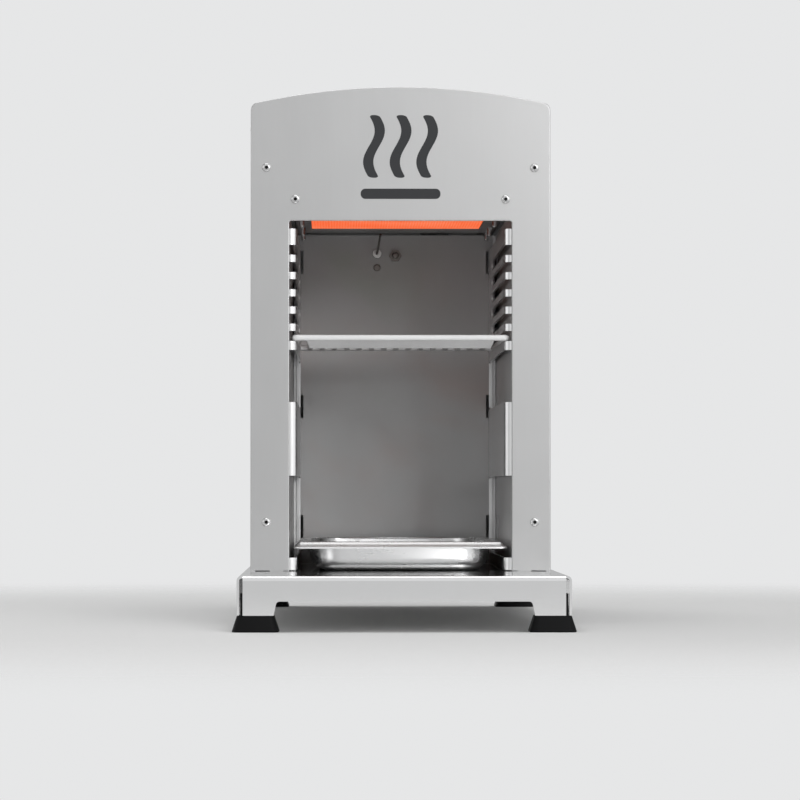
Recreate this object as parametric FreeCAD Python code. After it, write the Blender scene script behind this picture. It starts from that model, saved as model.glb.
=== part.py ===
import FreeCAD, Part
import math
import os

from FreeCAD import Vector

# An infrared gas grill that cooks from above. Millimetres, +Z up, the front faces -Y.
# The origin is on the surface it stands on, under the middle of the overall box.
# Depths are counted back from the front panel's face, heights up from the base's top face.

# Sheet thicknesses
panel_sheet = 2.0
base_sheet = 2.0
casing_sheet = 1.5
rack_sheet = 1.5
liner_sheet = 1.5
burner_sheet = 1.2
pan_sheet = 1.0

# Clearances
sheet_gap = 0.3
moving_gap = 0.3
running_gap = 0.05
screw_clearance = 0.2
wall_clearance = 0.1

# Front panel: an upside-down U with an arched top edge
panel_leg_width = 32.0
panel_height = 400.6
panel_arch_radius = 545.0
panel_corner_radius = 6.6
panel_edge_round = 0.9
opening_height = 289.6
opening_corner_radius = 2.2
panel_floor_gap = 0.5
panel_tab_width = 11.4
panel_tab_inset = 10.2

# Panel screws
screw_head_radius = 3.7
screw_head_height = 2.2
screw_shank_radius = 2.0
screw_length = 9.0
screw_round_share = 0.6
socket_across_flats = 2.5
socket_depth = 1.3
side_screw_inset = 13.1
side_screw_heights = (40.4, 333.6)

# Base tray and its legs
base_side_margin = 7.0
base_top = 44.0
base_overhang = 190.0
base_rear_margin = 75.0
base_bend = 4.0
base_flange = 20.0
leg_drop = 31.0
leg_width_bottom = 29.0
leg_width_top = 31.3
leg_corner_radius = 3.0
corner_notch = 4.8

# Rubber feet
foot_bottom_width = 37.0
foot_top_width = 29.6
foot_bottom_corner = 6.0
foot_top_corner = 4.5
foot_plug_width = 24.0
foot_plug_height = 18.0
foot_plug_corner = 2.0
foot_recess_radius = 7.0
foot_recess_depth = 7.0
foot_stud_radius = 3.0
foot_nut_across_flats = 10.0
foot_nut_height = 5.0
foot_stud_inset = 1.5

# Casing behind the front panel
compartment_depth = 130.0
cover_inset = 0.8
cover_flange = 14.0
side_flange = 24.0
side_bottom_flange = 12.0
casing_bend = 2.5
cover_screw_depths = (60.0, 233.0, 406.0)
cover_screw_length = 6.0
rear_screw_heights = (40.4, 187.0, 333.6)
base_screw_depths = (40.0, 233.0, 426.0)
base_screw_radius = 2.0
base_screw_head_radius = 3.6
base_screw_head_height = 2.4
base_screw_head_round = 0.8
base_screw_proud = 1.0
small_nut_across_flats = 7.0
small_nut_height = 3.2
vent_width = 5.0
vent_length = 42.0
vent_pitch = 16.0
top_vent_count = 11
top_vent_depths = (252.0, 318.0, 384.0)
side_vent_count = 17
side_vent_depth = 120.0
side_vent_height = 322.0
rear_vent_count = 5
rear_vent_heights = (70.0, 352.0)

# Cooking chamber: back wall and side walls behind the racks
chamber_top_gap = 2.0
wall_seam_gap = 3.1
liner_front = 4.4
liner_rear_flange = 14.0
liner_foot_flange = 11.0
hook_slot_width = 5.2
hook_slot_height = 21.0
hook_slot_bottoms = (23.2, 132.2, 263.0)
liner_slot_depth = 295.0
liner_slot_length = 20.0

# Racks that carry the grate
rack_stand_off = 6.6
rack_bend = 5.5
rack_flange_lap = 5.5
rack_rear_flange = 3.2
rack_bottom = 0.8
rack_top = 283.2
slot_count = 6
slot_pitch = 14.26
slot_height = 8.4
slot_first_bottom = 190.2
slot_depth = 268.0
cutout_low = (11.1, 78.8)
cutout_high = (139.7, 182.8)
cutout_rear_margin = 5.0
cutout_corner = 2.5
hook_length = 8.0
hook_lip = 5.0
hook_lip_thickness = 2.5
hook_tongue_share = 0.7

# Ceramic burner under the top cover
burner_face = 300.0
burner_box_height = 45.0
burner_flange_gap = 4.0
burner_flange_front = 12.0
burner_flange_rear_gap = 1.0
window_half_width = 74.8
window_front = 26.0
window_rear = 290.0
tile_seat_side = 0.7
tile_seat_end = 3.5
tile_thickness = 13.0
gasket_side = 0.8
gasket_end = 3.3
tile_seam = 1.0
baffle_side_gap = 5.5
baffle_rise = 14.0
baffle_margin = 9.0
baffle_hole_rows = 8
baffle_hole_radius = 6.0
stud_inset = 9.0
stud_depths = (30.0, 126.0, 250.0, 318.0)
stud_radius = 2.0
stud_drop = 8.0
stud_proud = 3.3
rail_gap = 0.5
rail_width = 12.5
rail_rise = 12.0
rail_web = 8.5
rail_screw_inset = 4.5
rail_round = 1.2
shield_gap = 7.0
shield_front = 12.0
shield_rear = 330.0

# Gas path
valve_offset = 38.0
valve_height = 172.0
valve_width = 28.0
valve_thickness = 24.0
valve_body_height = 42.0
valve_setback = 26.0
valve_neck_radius = 6.0
valve_neck_reach = 3.5
valve_shoulder = 3.0
valve_corner = 3.0
valve_nut_across_flats = 17.0
valve_nut_thickness = 3.0
stem_radius = 4.0
stem_seat = 9.0
plunger_radius = 2.5
plunger_length = 8.0
knob_press = 4.0
tube_outer = 4.0
tube_inner = 3.0
tube_bend = 12.0
tube_socket = 4.0
valve_tube_socket = 5.0
inlet_height = 72.0
inlet_radius = 6.58
inlet_reach = 12.0
inlet_neck_radius = 8.0
inlet_neck_proud = 0.5
inlet_relief_length = 1.5
inlet_relief_depth = 0.9
inlet_bore = 3.0
inlet_hex = 17.0
inlet_body_length = 11.0
inlet_nut_thickness = 4.0
inlet_nut_across_flats = 22.0
injector_hex = 12.0
injector_hex_height = 8.0
injector_tip_radius = 4.0
injector_tip_height = 9.0
injector_bore = 0.6
mixer_outer = 13.0
mixer_inner = 11.8
mixer_bend = 26.0
mixer_bell_radius = 17.0
mixer_bell_height = 12.0
mixer_bell_gap = 3.0
mixer_entry = 6.0

# Control knob, on the rear panel
knob_radius = 19.0
knob_skirt_radius = 22.0
knob_skirt_height = 3.0
knob_length = 20.0
knob_gap = 4.6
knob_grip_count = 12
knob_grip_radius = 2.6
knob_bore_depth = 13.0
knob_recess_radius = 12.0
knob_recess_depth = 5.0
knob_groove_set_out = 0.9
knob_pointer_width = 1.8
knob_pointer_depth = 1.0
knob_pointer_start = 6.6

# Piezo igniter, on the rear panel
igniter_offset = -40.0
igniter_height = 172.0
igniter_radius = 9.0
igniter_length = 34.0
igniter_neck_radius = 8.0
igniter_neck_reach = 4.0
igniter_nut_radius = 11.0
igniter_nut_thickness = 3.0
igniter_nut_round = 0.8
igniter_rear_round = 2.0
button_radius = 5.6
button_reach = 10.0
button_depth = 14.0
button_flange_radius = 6.6
button_flange_height = 2.0
button_edge_round = 1.4
button_travel = 6.0
spring_radius = 3.6
spring_wire = 0.45
spring_turns = 5
spring_spare = 0.4

# Electrode and thermocouple through the back wall
electrode_offset = -16.1
electrode_height = 280.9
electrode_radius = 4.0
electrode_front = 7.0
electrode_rear = 14.0
electrode_collar_radius = 5.5
electrode_collar_length = 3.0
electrode_edge_round = 0.6
electrode_wire_run = 14.0
electrode_wire_bend = 4.0
electrode_wire_radius = 1.0
electrode_tip_offset = -13.5
electrode_tip_depth = 284.0
electrode_tip_drop = 4.5
electrode_screw_drop = 12.3
electrode_screw_radius = 3.2
electrode_screw_head = 2.0
electrode_screw_round = 1.0
electrode_screw_socket = 1.1
electrode_screw_length = 6.0
bracket_width = 13.0
bracket_corner = 2.5
bracket_foot = 5.2
probe_offset = 0.5
probe_height = 279.1
probe_hex = 10.0
probe_hex_thickness = 5.0
probe_radius = 3.0
probe_tip_round = 1.5
probe_nut_thickness = 3.0
probe_reach = 14.0
lead_radius = 1.75
probe_lead_radius = 1.4
lead_bend = 7.0
lead_setback = 9.0
lead_drop = 30.0
lead_turn = 12.0
lead_entry = 6.5
probe_tail = 12.0
probe_lead_rise = 8.0
probe_lead_setback = 9.0

# Grate in the lowest pair of slots
grate_side_gap = 2.3
grate_rear_gap = 1.0
grate_front = 1.0
grate_thickness = 4.8
grate_rim = 5.2
grate_edge_round = 2.1
apron_side_gap = 7.6
apron_taper = 2.7
apron_drop = 5.9
apron_lean = 12.0
apron_setback = 1.8
apron_root = 0.8
apron_sheet = 1.5
grate_bar_count = 15
grate_bar_width = 4.0
grate_bar_height = 4.0
grate_bar_round = 1.2
grate_bar_set_down = 0.4

# Drip pan on the base
pan_width = 176.8
pan_length = 325.0
pan_side_gap = 3.6
pan_rear_gap = 10.0
pan_front = 1.0
pan_height = 24.2
pan_rim_drop = 5.1
pan_rim_slope = 4.8
pan_body_width = 147.4
pan_body_length = 296.0
pan_draft = 3.0
pan_corner = 24.0
pan_rim_corner = 6.0
pan_floor_round = 11.0
pan_ridge_round = 0.8

# The chamber is sized for the pan, and everything round it for the chamber
chamber_half_width = pan_width / 2 + pan_side_gap
chamber_depth = pan_front + pan_length + pan_rear_gap
chamber_wall_top = burner_face - chamber_top_gap
opening_width = 2 * chamber_half_width
panel_width = opening_width + 2 * panel_leg_width
panel_tab_offset = chamber_half_width + panel_tab_inset
base_width = panel_width + 2 * base_side_margin
casing_depth = chamber_depth + compartment_depth
rack_half_gap = chamber_half_width - rack_stand_off
rack_flange_reach = chamber_half_width + rack_flange_lap
grate_half_width = chamber_half_width - grate_side_gap
grate_length = slot_depth - slot_height / 2 - grate_rear_gap - grate_front
apron_half_top = rack_half_gap - apron_side_gap

# Burner: the housing holds the tiles over the window, and the rails carry it
tile_half_width = window_half_width + tile_seat_side
tile_front = window_front - tile_seat_end
tile_rear = window_rear + tile_seat_end
burner_half_width = tile_half_width + gasket_side + burner_sheet
burner_box_front = tile_front - gasket_end - burner_sheet
burner_box_rear = tile_rear + gasket_end + burner_sheet
tile_bed = burner_face + burner_sheet
tile_top = tile_bed + tile_thickness
rail_outer = chamber_half_width - rail_gap
rail_inner = rail_outer - rail_width
rail_height = burner_face + rail_rise
rail_screw_offset = rail_outer - rail_screw_inset
rail_screw_height = rail_height - rail_screw_inset
stud_offset = rail_outer - stud_inset
stud_top = rail_height + casing_sheet + small_nut_height + stud_proud
shield_height = burner_face + burner_box_height + shield_gap
valve_depth = casing_depth - valve_setback
mixer_height = tile_top + mixer_outer + sheet_gap

# Reach of the whole object before and behind the panel's face
foot_flare = (foot_bottom_width - foot_top_width) / 2
front_reach = base_overhang + foot_flare
rear_reach = casing_depth + max(knob_gap + knob_length, base_rear_margin + foot_flare)
panel_y = (front_reach - rear_reach) / 2
rear_y = panel_y + casing_depth
base_front_y = panel_y - base_overhang
base_rear_y = rear_y + base_rear_margin
leg_bottom = base_top - leg_drop
back_wall_y = panel_y + chamber_depth
side_x = panel_width / 2 - cover_inset - casing_sheet - screw_clearance
arch_centre = base_top + panel_height - panel_arch_radius
rear_inside_y = rear_y - casing_sheet


def block(x0, x1, y0, y1, z0, z1):
    return Part.makeBox(x1 - x0, y1 - y0, z1 - z0, Vector(x0, y0, z0))


def rod(x, y, z, radius, length, direction=Vector(0, 0, 1)):
    return Part.makeCylinder(radius, length, Vector(x, y, z), direction)


def mirrored(shape):
    return shape.mirror(Vector(0, 0, 0), Vector(1, 0, 0))


def pick(shape, along=None, **limits):
    """Edges inside the given ranges of x, y and z, and parallel to an axis if one is named."""
    chosen = []
    for edge in shape.Edges:
        box = edge.BoundBox
        low = {"x": box.XMin, "y": box.YMin, "z": box.ZMin}
        high = {"x": box.XMax, "y": box.YMax, "z": box.ZMax}
        inside = all(a - 0.02 <= low[n] and high[n] <= b + 0.02 for n, (a, b) in limits.items())
        straight = along is None or all(high[n] - low[n] < 0.01 for n in "xyz" if n != along)
        if inside and straight:
            chosen.append(edge)
    return chosen


def rounded(shape, radius, along=None, **limits):
    return shape.makeFillet(radius, pick(shape, along, **limits))


def hexagon(across_flats, height):
    corner = across_flats / math.sqrt(3)
    turns = [math.radians(60 * i) for i in range(7)]
    points = [Vector(corner * math.cos(t), corner * math.sin(t), 0) for t in turns]
    return Part.Face(Part.makePolygon(points)).extrude(Vector(0, 0, height))


def placed(shape, x, y, z, direction):
    """Turns a shape made along +Z so that it points along the direction, and moves it."""
    turn = FreeCAD.Rotation(Vector(0, 0, 1), direction)
    shape.Placement = FreeCAD.Placement(Vector(x, y, z), turn)
    return shape


def button_screw(x, y, z, direction, length=screw_length):
    """The head stands out along the direction from the point, the shank goes the other way."""
    head = Part.makeCylinder(screw_head_radius, screw_head_height)
    head = rounded(head, screw_head_height * screw_round_share, z=(screw_head_height, screw_head_height))
    shank = Part.makeCylinder(screw_shank_radius, length, Vector(0, 0, -length))
    socket = hexagon(socket_across_flats, socket_depth + 1)
    socket.translate(Vector(0, 0, screw_head_height - socket_depth))
    return placed(head.fuse(shank).cut(socket), x, y, z, direction)


def nut(across_flats, height, hole_radius):
    return hexagon(across_flats, height).cut(Part.makeCylinder(hole_radius, height))


def rounded_rectangle(x, y, z, width, length, radius):
    """A closed wire of four lines and four corner arcs."""
    inner_x = width / 2 - radius
    inner_y = length / 2 - radius
    signs = ((1, 1), (-1, 1), (-1, -1), (1, -1))
    ends = []
    for i, (sx, sy) in enumerate(signs):
        centre = Vector(x + sx * inner_x, y + sy * inner_y, z)
        turns = [math.radians(90 * i + t) for t in (0, 45, 90)]
        ends.append([centre + Vector(radius * math.cos(t), radius * math.sin(t), 0) for t in turns])
    edges = []
    for i, points in enumerate(ends):
        edges.append(Part.Arc(*points).toShape())
        edges.append(Part.LineSegment(points[2], ends[(i + 1) % 4][0]).toShape())
    return Part.Wire(edges)


def tapered(lower, upper):
    return Part.makeLoft([lower, upper], True, True)


def bent_tube(points, radius, bend):
    """A round tube along straight runs joined by tangent arcs of one bend radius."""
    edges = []
    start = points[0]
    for before, corner, after in zip(points, points[1:], points[2:]):
        inward = (corner - before).normalize()
        outward = (after - corner).normalize()
        half_turn = inward.getAngle(outward) / 2
        reach = bend * math.tan(half_turn)
        first = corner - inward * reach
        last = corner + outward * reach
        centre_way = (outward - inward).normalize()
        middle = corner + centre_way * (bend / math.cos(half_turn) - bend)
        edges.append(Part.LineSegment(start, first).toShape())
        edges.append(Part.Arc(first, middle, last).toShape())
        start = last
    edges.append(Part.LineSegment(start, points[-1]).toShape())
    path = Part.Wire(edges)
    circle = Part.Circle(points[0], points[1] - points[0], radius)
    return path.makePipeShell([Part.Wire(circle.toShape())], True, False)


def upright_slot(x, z, width, length, y0, y1):
    """A cutter with round ends, upright, going through a wall that faces front or back."""
    body = block(x - width / 2, x + width / 2, y0, y1, z - length / 2, z + length / 2)
    return rounded(body, width / 2 - 0.01, "y")


def arched_block(inset, z0, y0, y1):
    """The front panel's outline, drawn in by the inset, as a solid between two depths."""
    half = panel_width / 2 - inset
    radius = panel_arch_radius - inset
    side_top = arch_centre + math.sqrt(radius**2 - half**2)
    crown = Vector(0, y0, arch_centre + radius)
    left = Vector(-half, y0, side_top)
    right = Vector(half, y0, side_top)
    foot_left = Vector(-half, y0, z0)
    foot_right = Vector(half, y0, z0)
    edges = [
        Part.LineSegment(left, foot_left).toShape(),
        Part.LineSegment(foot_left, foot_right).toShape(),
        Part.LineSegment(foot_right, right).toShape(),
        Part.Arc(right, crown, left).toShape(),
    ]
    solid = Part.Face(Part.Wire(edges)).extrude(Vector(0, y1 - y0, 0))
    return rounded(solid, panel_corner_radius - inset, "y", z=(side_top, side_top))


def side_screw_x():
    return panel_width / 2 - side_screw_inset


def foot_places():
    x = base_width / 2 - foot_top_width / 2
    front = base_front_y + foot_top_width / 2
    rear = base_rear_y - foot_top_width / 2
    return {
        "foot_front_left": (-x, front),
        "foot_front_right": (x, front),
        "foot_rear_left": (-x, rear),
        "foot_rear_right": (x, rear),
    }


def base_screw_places():
    x = side_x - side_bottom_flange / 2
    return [(s * x, panel_y + d) for d in base_screw_depths for s in (-1, 1)]


def leg_gap(half_length):
    """The cutter between two legs, in the XZ plane about the middle, 1 mm thick along Y."""
    slope = leg_width_top - leg_width_bottom
    top = base_top - base_flange
    low = leg_bottom - 1.0
    half_top = half_length - leg_width_top
    half_low = half_length - leg_width_bottom + slope * 1.0 / (leg_drop - base_flange)
    corners = [(-half_low, low), (half_low, low), (half_top, top), (-half_top, top)]
    points = [Vector(x, 0, z) for x, z in corners]
    return Part.makePolygon(points + points[:1])


def bent_base():
    """The whole folded sheet: the plate, its flanges and its legs."""
    half = base_width / 2
    outer = block(-half, half, base_front_y, base_rear_y, leg_bottom, base_top)
    outer = rounded(outer, base_bend, z=(base_top, base_top))
    lid = base_top - base_sheet
    inner = block(
        base_sheet - half, half - base_sheet,
        base_front_y + base_sheet, base_rear_y - base_sheet,
        leg_bottom - 1, lid,
    )
    inner = rounded(inner, base_bend - base_sheet, z=(lid, lid))
    tray = outer.cut(inner)
    for x in (-half, half - corner_notch):
        for y in (base_front_y, base_rear_y - corner_notch):
            tray = tray.cut(block(x, x + corner_notch, y, y + corner_notch, 0, base_top + 1))
    length = base_rear_y - base_front_y
    middle_y = (base_rear_y + base_front_y) / 2
    across = Part.Face(leg_gap(half)).extrude(Vector(0, length + 2, 0))
    across = rounded(across, leg_corner_radius, "y", z=(base_top - base_flange, base_top - base_flange))
    across.translate(Vector(0, base_front_y - 1, 0))
    along = Part.Face(leg_gap(length / 2)).extrude(Vector(0, base_width + 2, 0))
    along = rounded(along, leg_corner_radius, "y", z=(base_top - base_flange, base_top - base_flange))
    along.rotate(Vector(0, 0, 0), Vector(0, 0, 1), 90)
    along.translate(Vector(half + 1, middle_y, 0))
    tray = tray.cut(across).cut(along)
    slot_half = panel_tab_width / 2 + sheet_gap
    for x in (-panel_tab_offset, panel_tab_offset):
        y0 = panel_y - sheet_gap
        y1 = panel_y + panel_sheet + sheet_gap
        tray = tray.cut(block(x - slot_half, x + slot_half, y0, y1, lid - 1, base_top + 1))
    for x, y in base_screw_places():
        tray = tray.cut(rod(x, y, lid - 1, base_screw_radius + screw_clearance, base_sheet + 2))
    return tray


def leg_zone(x, y, reach):
    """The space of the legs, below the rounded corners of the gaps, about one place."""
    top = base_top - base_flange - leg_corner_radius
    return block(x - reach, x + reach, y - reach, y + reach, 0, top)


def base_plate(bent):
    return bent.cut(leg_zone(0, 0, base_rear_y - base_front_y))


def base_leg(bent, x, y):
    """The two strips of the sheet on one foot, a node of their own so that the gap stays open."""
    return bent.common(leg_zone(x, y, foot_bottom_width)).Solids


def foot(x, y):
    flare_height = leg_bottom
    lower = rounded_rectangle(x, y, 0, foot_bottom_width, foot_bottom_width, foot_bottom_corner)
    upper = rounded_rectangle(x, y, flare_height, foot_top_width, foot_top_width, foot_top_corner)
    half = foot_plug_width / 2
    plug = block(x - half, x + half, y - half, y + half, flare_height, flare_height + foot_plug_height)
    plug = rounded(plug, foot_plug_corner, "z")
    body = tapered(lower, upper).fuse(plug)
    body = body.cut(rod(x, y, -1, foot_recess_radius, foot_recess_depth + 1))
    return body.cut(rod(x, y, 0, foot_stud_radius, base_top))


def foot_studs():
    lid = base_top - base_sheet
    return [
        rod(x, y, foot_stud_inset, foot_stud_radius, lid - foot_stud_inset)
        for x, y in foot_places().values()
    ]


def foot_nuts():
    nuts = []
    for x, y in foot_places().values():
        piece = nut(foot_nut_across_flats, foot_nut_height, foot_stud_radius)
        piece.translate(Vector(x, y, foot_recess_depth - foot_nut_height))
        nuts.append(piece)
    return nuts


def base_screws():
    screws = []
    lid = base_top - base_sheet
    top = base_top + casing_sheet + small_nut_height + base_screw_proud
    for x, y in base_screw_places():
        shank = rod(x, y, lid, base_screw_radius, top - lid)
        low = lid - base_screw_head_height
        head = rod(x, y, low, base_screw_head_radius, base_screw_head_height)
        head = rounded(head, base_screw_head_round, z=(low, low))
        screws.append(shank.fuse(head))
    return screws


def base_nuts():
    nuts = []
    for x, y in base_screw_places():
        piece = nut(small_nut_across_flats, small_nut_height, base_screw_radius)
        piece.translate(Vector(x, y, base_top + casing_sheet))
        nuts.append(piece)
    return nuts


def front_panel():
    bottom = base_top + panel_floor_gap
    panel = arched_block(0, bottom, panel_y, panel_y + panel_sheet)
    half = opening_width / 2
    top = base_top + opening_height
    opening = block(-half, half, panel_y - 1, panel_y + panel_sheet + 1, base_top - 1, top)
    opening = rounded(opening, opening_corner_radius, "y", z=(top, top))
    panel = panel.cut(opening)
    panel = rounded(panel, panel_edge_round, y=(panel_y, panel_y), z=(bottom + 0.1, base_top + 500))
    tab_half = panel_tab_width / 2
    for x in (-panel_tab_offset, panel_tab_offset):
        low = base_top - base_sheet
        tab = block(x - tab_half, x + tab_half, panel_y, panel_y + panel_sheet, low, bottom)
        panel = panel.fuse(tab)
    hole = screw_shank_radius + screw_clearance
    for x, z in panel_screw_places():
        panel = panel.cut(rod(x, panel_y - 1, z, hole, panel_sheet + 2, Vector(0, 1, 0)))
    return panel.removeSplitter()


def panel_screw_places():
    places = [(s * side_screw_x(), base_top + h) for h in side_screw_heights for s in (-1, 1)]
    places += [(s * rail_screw_offset, base_top + rail_screw_height) for s in (-1, 1)]
    return places


def rear_screw_places():
    places = [(s * side_screw_x(), base_top + h) for h in rear_screw_heights for s in (-1, 1)]
    places += [(s * rail_screw_offset, base_top + rail_screw_height) for s in (-1, 1)]
    return places


def panel_screws():
    return [button_screw(x, panel_y, z, Vector(0, -1, 0)) for x, z in panel_screw_places()]


def rear_panel_screws():
    return [button_screw(x, rear_y, z, Vector(0, 1, 0)) for x, z in rear_screw_places()]


def cover_screw_height():
    return side_panel_top() - cover_flange / 2


def side_panel_top():
    """Just under the top cover's bend."""
    half = panel_width / 2
    side_top = arch_centre + math.sqrt(panel_arch_radius**2 - half**2)
    return side_top - panel_corner_radius - casing_sheet


def side_panel():
    """The right one. Its flanges turn inwards at the front, the rear and the bottom."""
    y0 = panel_y + panel_sheet
    top = side_panel_top()
    inner_x = side_x - side_flange
    outer = block(inner_x, side_x, y0, rear_inside_y, base_top, top)
    outer = rounded(outer, casing_bend, "z", x=(side_x, side_x))
    outer = rounded(outer, casing_bend - 0.5, "y", x=(side_x, side_x), z=(base_top, base_top))
    hollow = block(
        inner_x - 1, side_x - casing_sheet,
        y0 + casing_sheet, rear_inside_y - casing_sheet,
        base_top + casing_sheet, top + 1,
    )
    hollow = rounded(hollow, casing_bend - casing_sheet, "z", x=(side_x - casing_sheet, 500))
    shell = outer.cut(hollow)
    trim_x = side_x - side_bottom_flange
    trim = block(
        inner_x - 1, trim_x,
        y0 + casing_sheet, rear_inside_y - casing_sheet,
        base_top - 1, base_top + casing_sheet + 1,
    )
    shell = shell.cut(trim)
    hole = screw_shank_radius + screw_clearance
    x = side_screw_x()
    for height in side_screw_heights:
        shell = shell.cut(rod(x, y0 - 1, base_top + height, hole, casing_sheet + 2, Vector(0, 1, 0)))
    for height in rear_screw_heights:
        y = rear_inside_y - casing_sheet - 1
        shell = shell.cut(rod(x, y, base_top + height, hole, casing_sheet + 2, Vector(0, 1, 0)))
    for depth in cover_screw_depths:
        y = panel_y + depth
        shell = shell.cut(rod(side_x - 3, y, cover_screw_height(), hole, 6, Vector(1, 0, 0)))
    for px, py in base_screw_places():
        if px > 0:
            shell = shell.cut(rod(px, py, base_top - 1, base_screw_radius + screw_clearance, 4))
    for i in range(side_vent_count):
        y = panel_y + side_vent_depth + i * vent_pitch
        cutter = upright_slot(0, base_top + side_vent_height, vent_width, vent_length, -4, 4)
        cutter.rotate(Vector(0, 0, 0), Vector(0, 0, 1), 90)
        cutter.translate(Vector(side_x, y, 0))
        shell = shell.cut(cutter)
    return shell


def top_cover():
    y0 = panel_y + panel_sheet
    low = side_panel_top() - cover_flange
    outer = arched_block(cover_inset, low, y0, rear_inside_y)
    hollow = arched_block(cover_inset + casing_sheet, low - 1, y0 - 1, rear_inside_y + 1)
    cover = outer.cut(hollow)
    hole = screw_shank_radius + screw_clearance
    for depth in cover_screw_depths:
        for start in (-panel_width / 2 - 1, side_x - 1):
            y = panel_y + depth
            cover = cover.cut(rod(start, y, cover_screw_height(), hole, 5, Vector(1, 0, 0)))
    for depth in top_vent_depths:
        for i in range(top_vent_count):
            x = (i - (top_vent_count - 1) / 2) * vent_pitch
            y = panel_y + depth
            length = vent_length / 2
            z = base_top + panel_height
            cutter = block(x - vent_width / 2, x + vent_width / 2, y - length, y + length, z - 25, z + 5)
            cover = cover.cut(rounded(cutter, vent_width / 2 - 0.01, "z"))
    return cover


def top_cover_screws():
    x = panel_width / 2 - cover_inset
    z = cover_screw_height()
    screws = []
    for depth in cover_screw_depths:
        for side in (-1, 1):
            outward = Vector(side, 0, 0)
            screws.append(button_screw(side * x, panel_y + depth, z, outward, cover_screw_length))
    return screws


def rear_panel():
    panel = arched_block(cover_inset, base_top + sheet_gap, rear_inside_y, rear_y)
    hole = screw_shank_radius + screw_clearance
    for x, z in rear_screw_places():
        panel = panel.cut(rod(x, rear_inside_y - 1, z, hole, casing_sheet + 2, Vector(0, 1, 0)))
    fittings = (
        (valve_offset, valve_height, valve_neck_radius),
        (valve_offset, inlet_height, inlet_neck_radius),
        (igniter_offset, igniter_height, igniter_neck_radius),
    )
    for x, height, radius in fittings:
        cutter = rod(x, rear_inside_y - 1, base_top + height, radius + wall_clearance, 4, Vector(0, 1, 0))
        panel = panel.cut(cutter)
    for height in rear_vent_heights:
        for i in range(rear_vent_count):
            z = base_top + height + (i - (rear_vent_count - 1) / 2) * vent_width * 2
            for side in (-1, 1):
                x = side * (vent_length / 2 + vent_width)
                if height == rear_vent_heights[0] and side > 0:
                    continue
                cutter = upright_slot(0, 0, vent_width, vent_length, -4, 4)
                cutter.rotate(Vector(0, 0, 0), Vector(0, 1, 0), 90)
                cutter.translate(Vector(x, rear_y, z))
                panel = panel.cut(cutter)
    return panel


def hook_slot_boxes(margin=0.0):
    """Openings in the back wall for the right rack's hooks."""
    x = rack_half_gap
    y0 = back_wall_y - 1
    y1 = back_wall_y + 3 * liner_sheet + 1
    boxes = []
    for bottom in hook_slot_bottoms:
        z = base_top + bottom
        half = hook_slot_width / 2 + margin
        boxes.append(block(x - half, x + half, y0, y1, z - margin, z + hook_slot_height + margin))
    return boxes


def chamber_back_wall():
    half = chamber_half_width - wall_seam_gap
    top = base_top + chamber_wall_top
    y1 = back_wall_y + liner_sheet
    wall = block(-half, half, back_wall_y, y1, base_top + sheet_gap, top)
    wall = wall.makeFillet(0.5, pick(wall, "z", y=(back_wall_y, back_wall_y)))
    for cutter in hook_slot_boxes():
        wall = wall.cut(cutter).cut(mirrored(cutter))
    holes = (
        (electrode_offset, electrode_height, electrode_radius + wall_clearance),
        (electrode_offset, electrode_height - electrode_screw_drop, screw_shank_radius + wall_clearance),
        (probe_offset, probe_height, probe_radius + wall_clearance),
    )
    for x, height, radius in holes:
        z = base_top + height
        wall = wall.cut(rod(x, back_wall_y - 1, z, radius, liner_sheet + 2, Vector(0, 1, 0)))
    return wall


def chamber_wall():
    """The right one: a flat side, a flange that closes behind the back wall and a foot flange."""
    y0 = panel_y + liner_front
    y1 = back_wall_y + 2 * liner_sheet
    low = base_top
    top = base_top + chamber_wall_top
    inner_x = chamber_half_width - liner_rear_flange
    outer_x = chamber_half_width + liner_sheet
    outer = block(inner_x, outer_x, y0, y1, low, top)
    outer = rounded(outer, casing_bend, "z", x=(outer_x, outer_x), y=(y1, y1))
    hollow = block(inner_x - 1, chamber_half_width, y0 - 1, y1 - liner_sheet, low - 1, top + 1)
    hollow = rounded(hollow, 1.0, "z", x=(chamber_half_width, 500), y=(y1 - liner_sheet, 500))
    wall = outer.cut(hollow)
    foot_x = chamber_half_width + liner_foot_flange
    wall = wall.fuse(block(chamber_half_width, foot_x, y0, back_wall_y, low, low + liner_sheet))
    for cutter in hook_slot_boxes(0.5):
        wall = wall.cut(cutter)
    y = panel_y + liner_slot_depth
    for bottom in hook_slot_bottoms:
        z = base_top + bottom
        wall = wall.cut(
            block(outer_x - 3, outer_x + 1, y, y + liner_slot_length, z, z + hook_slot_height)
        )
    return wall.removeSplitter()


def rack_slot_bottoms():
    return [base_top + slot_first_bottom + i * slot_pitch for i in range(slot_count)]


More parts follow.
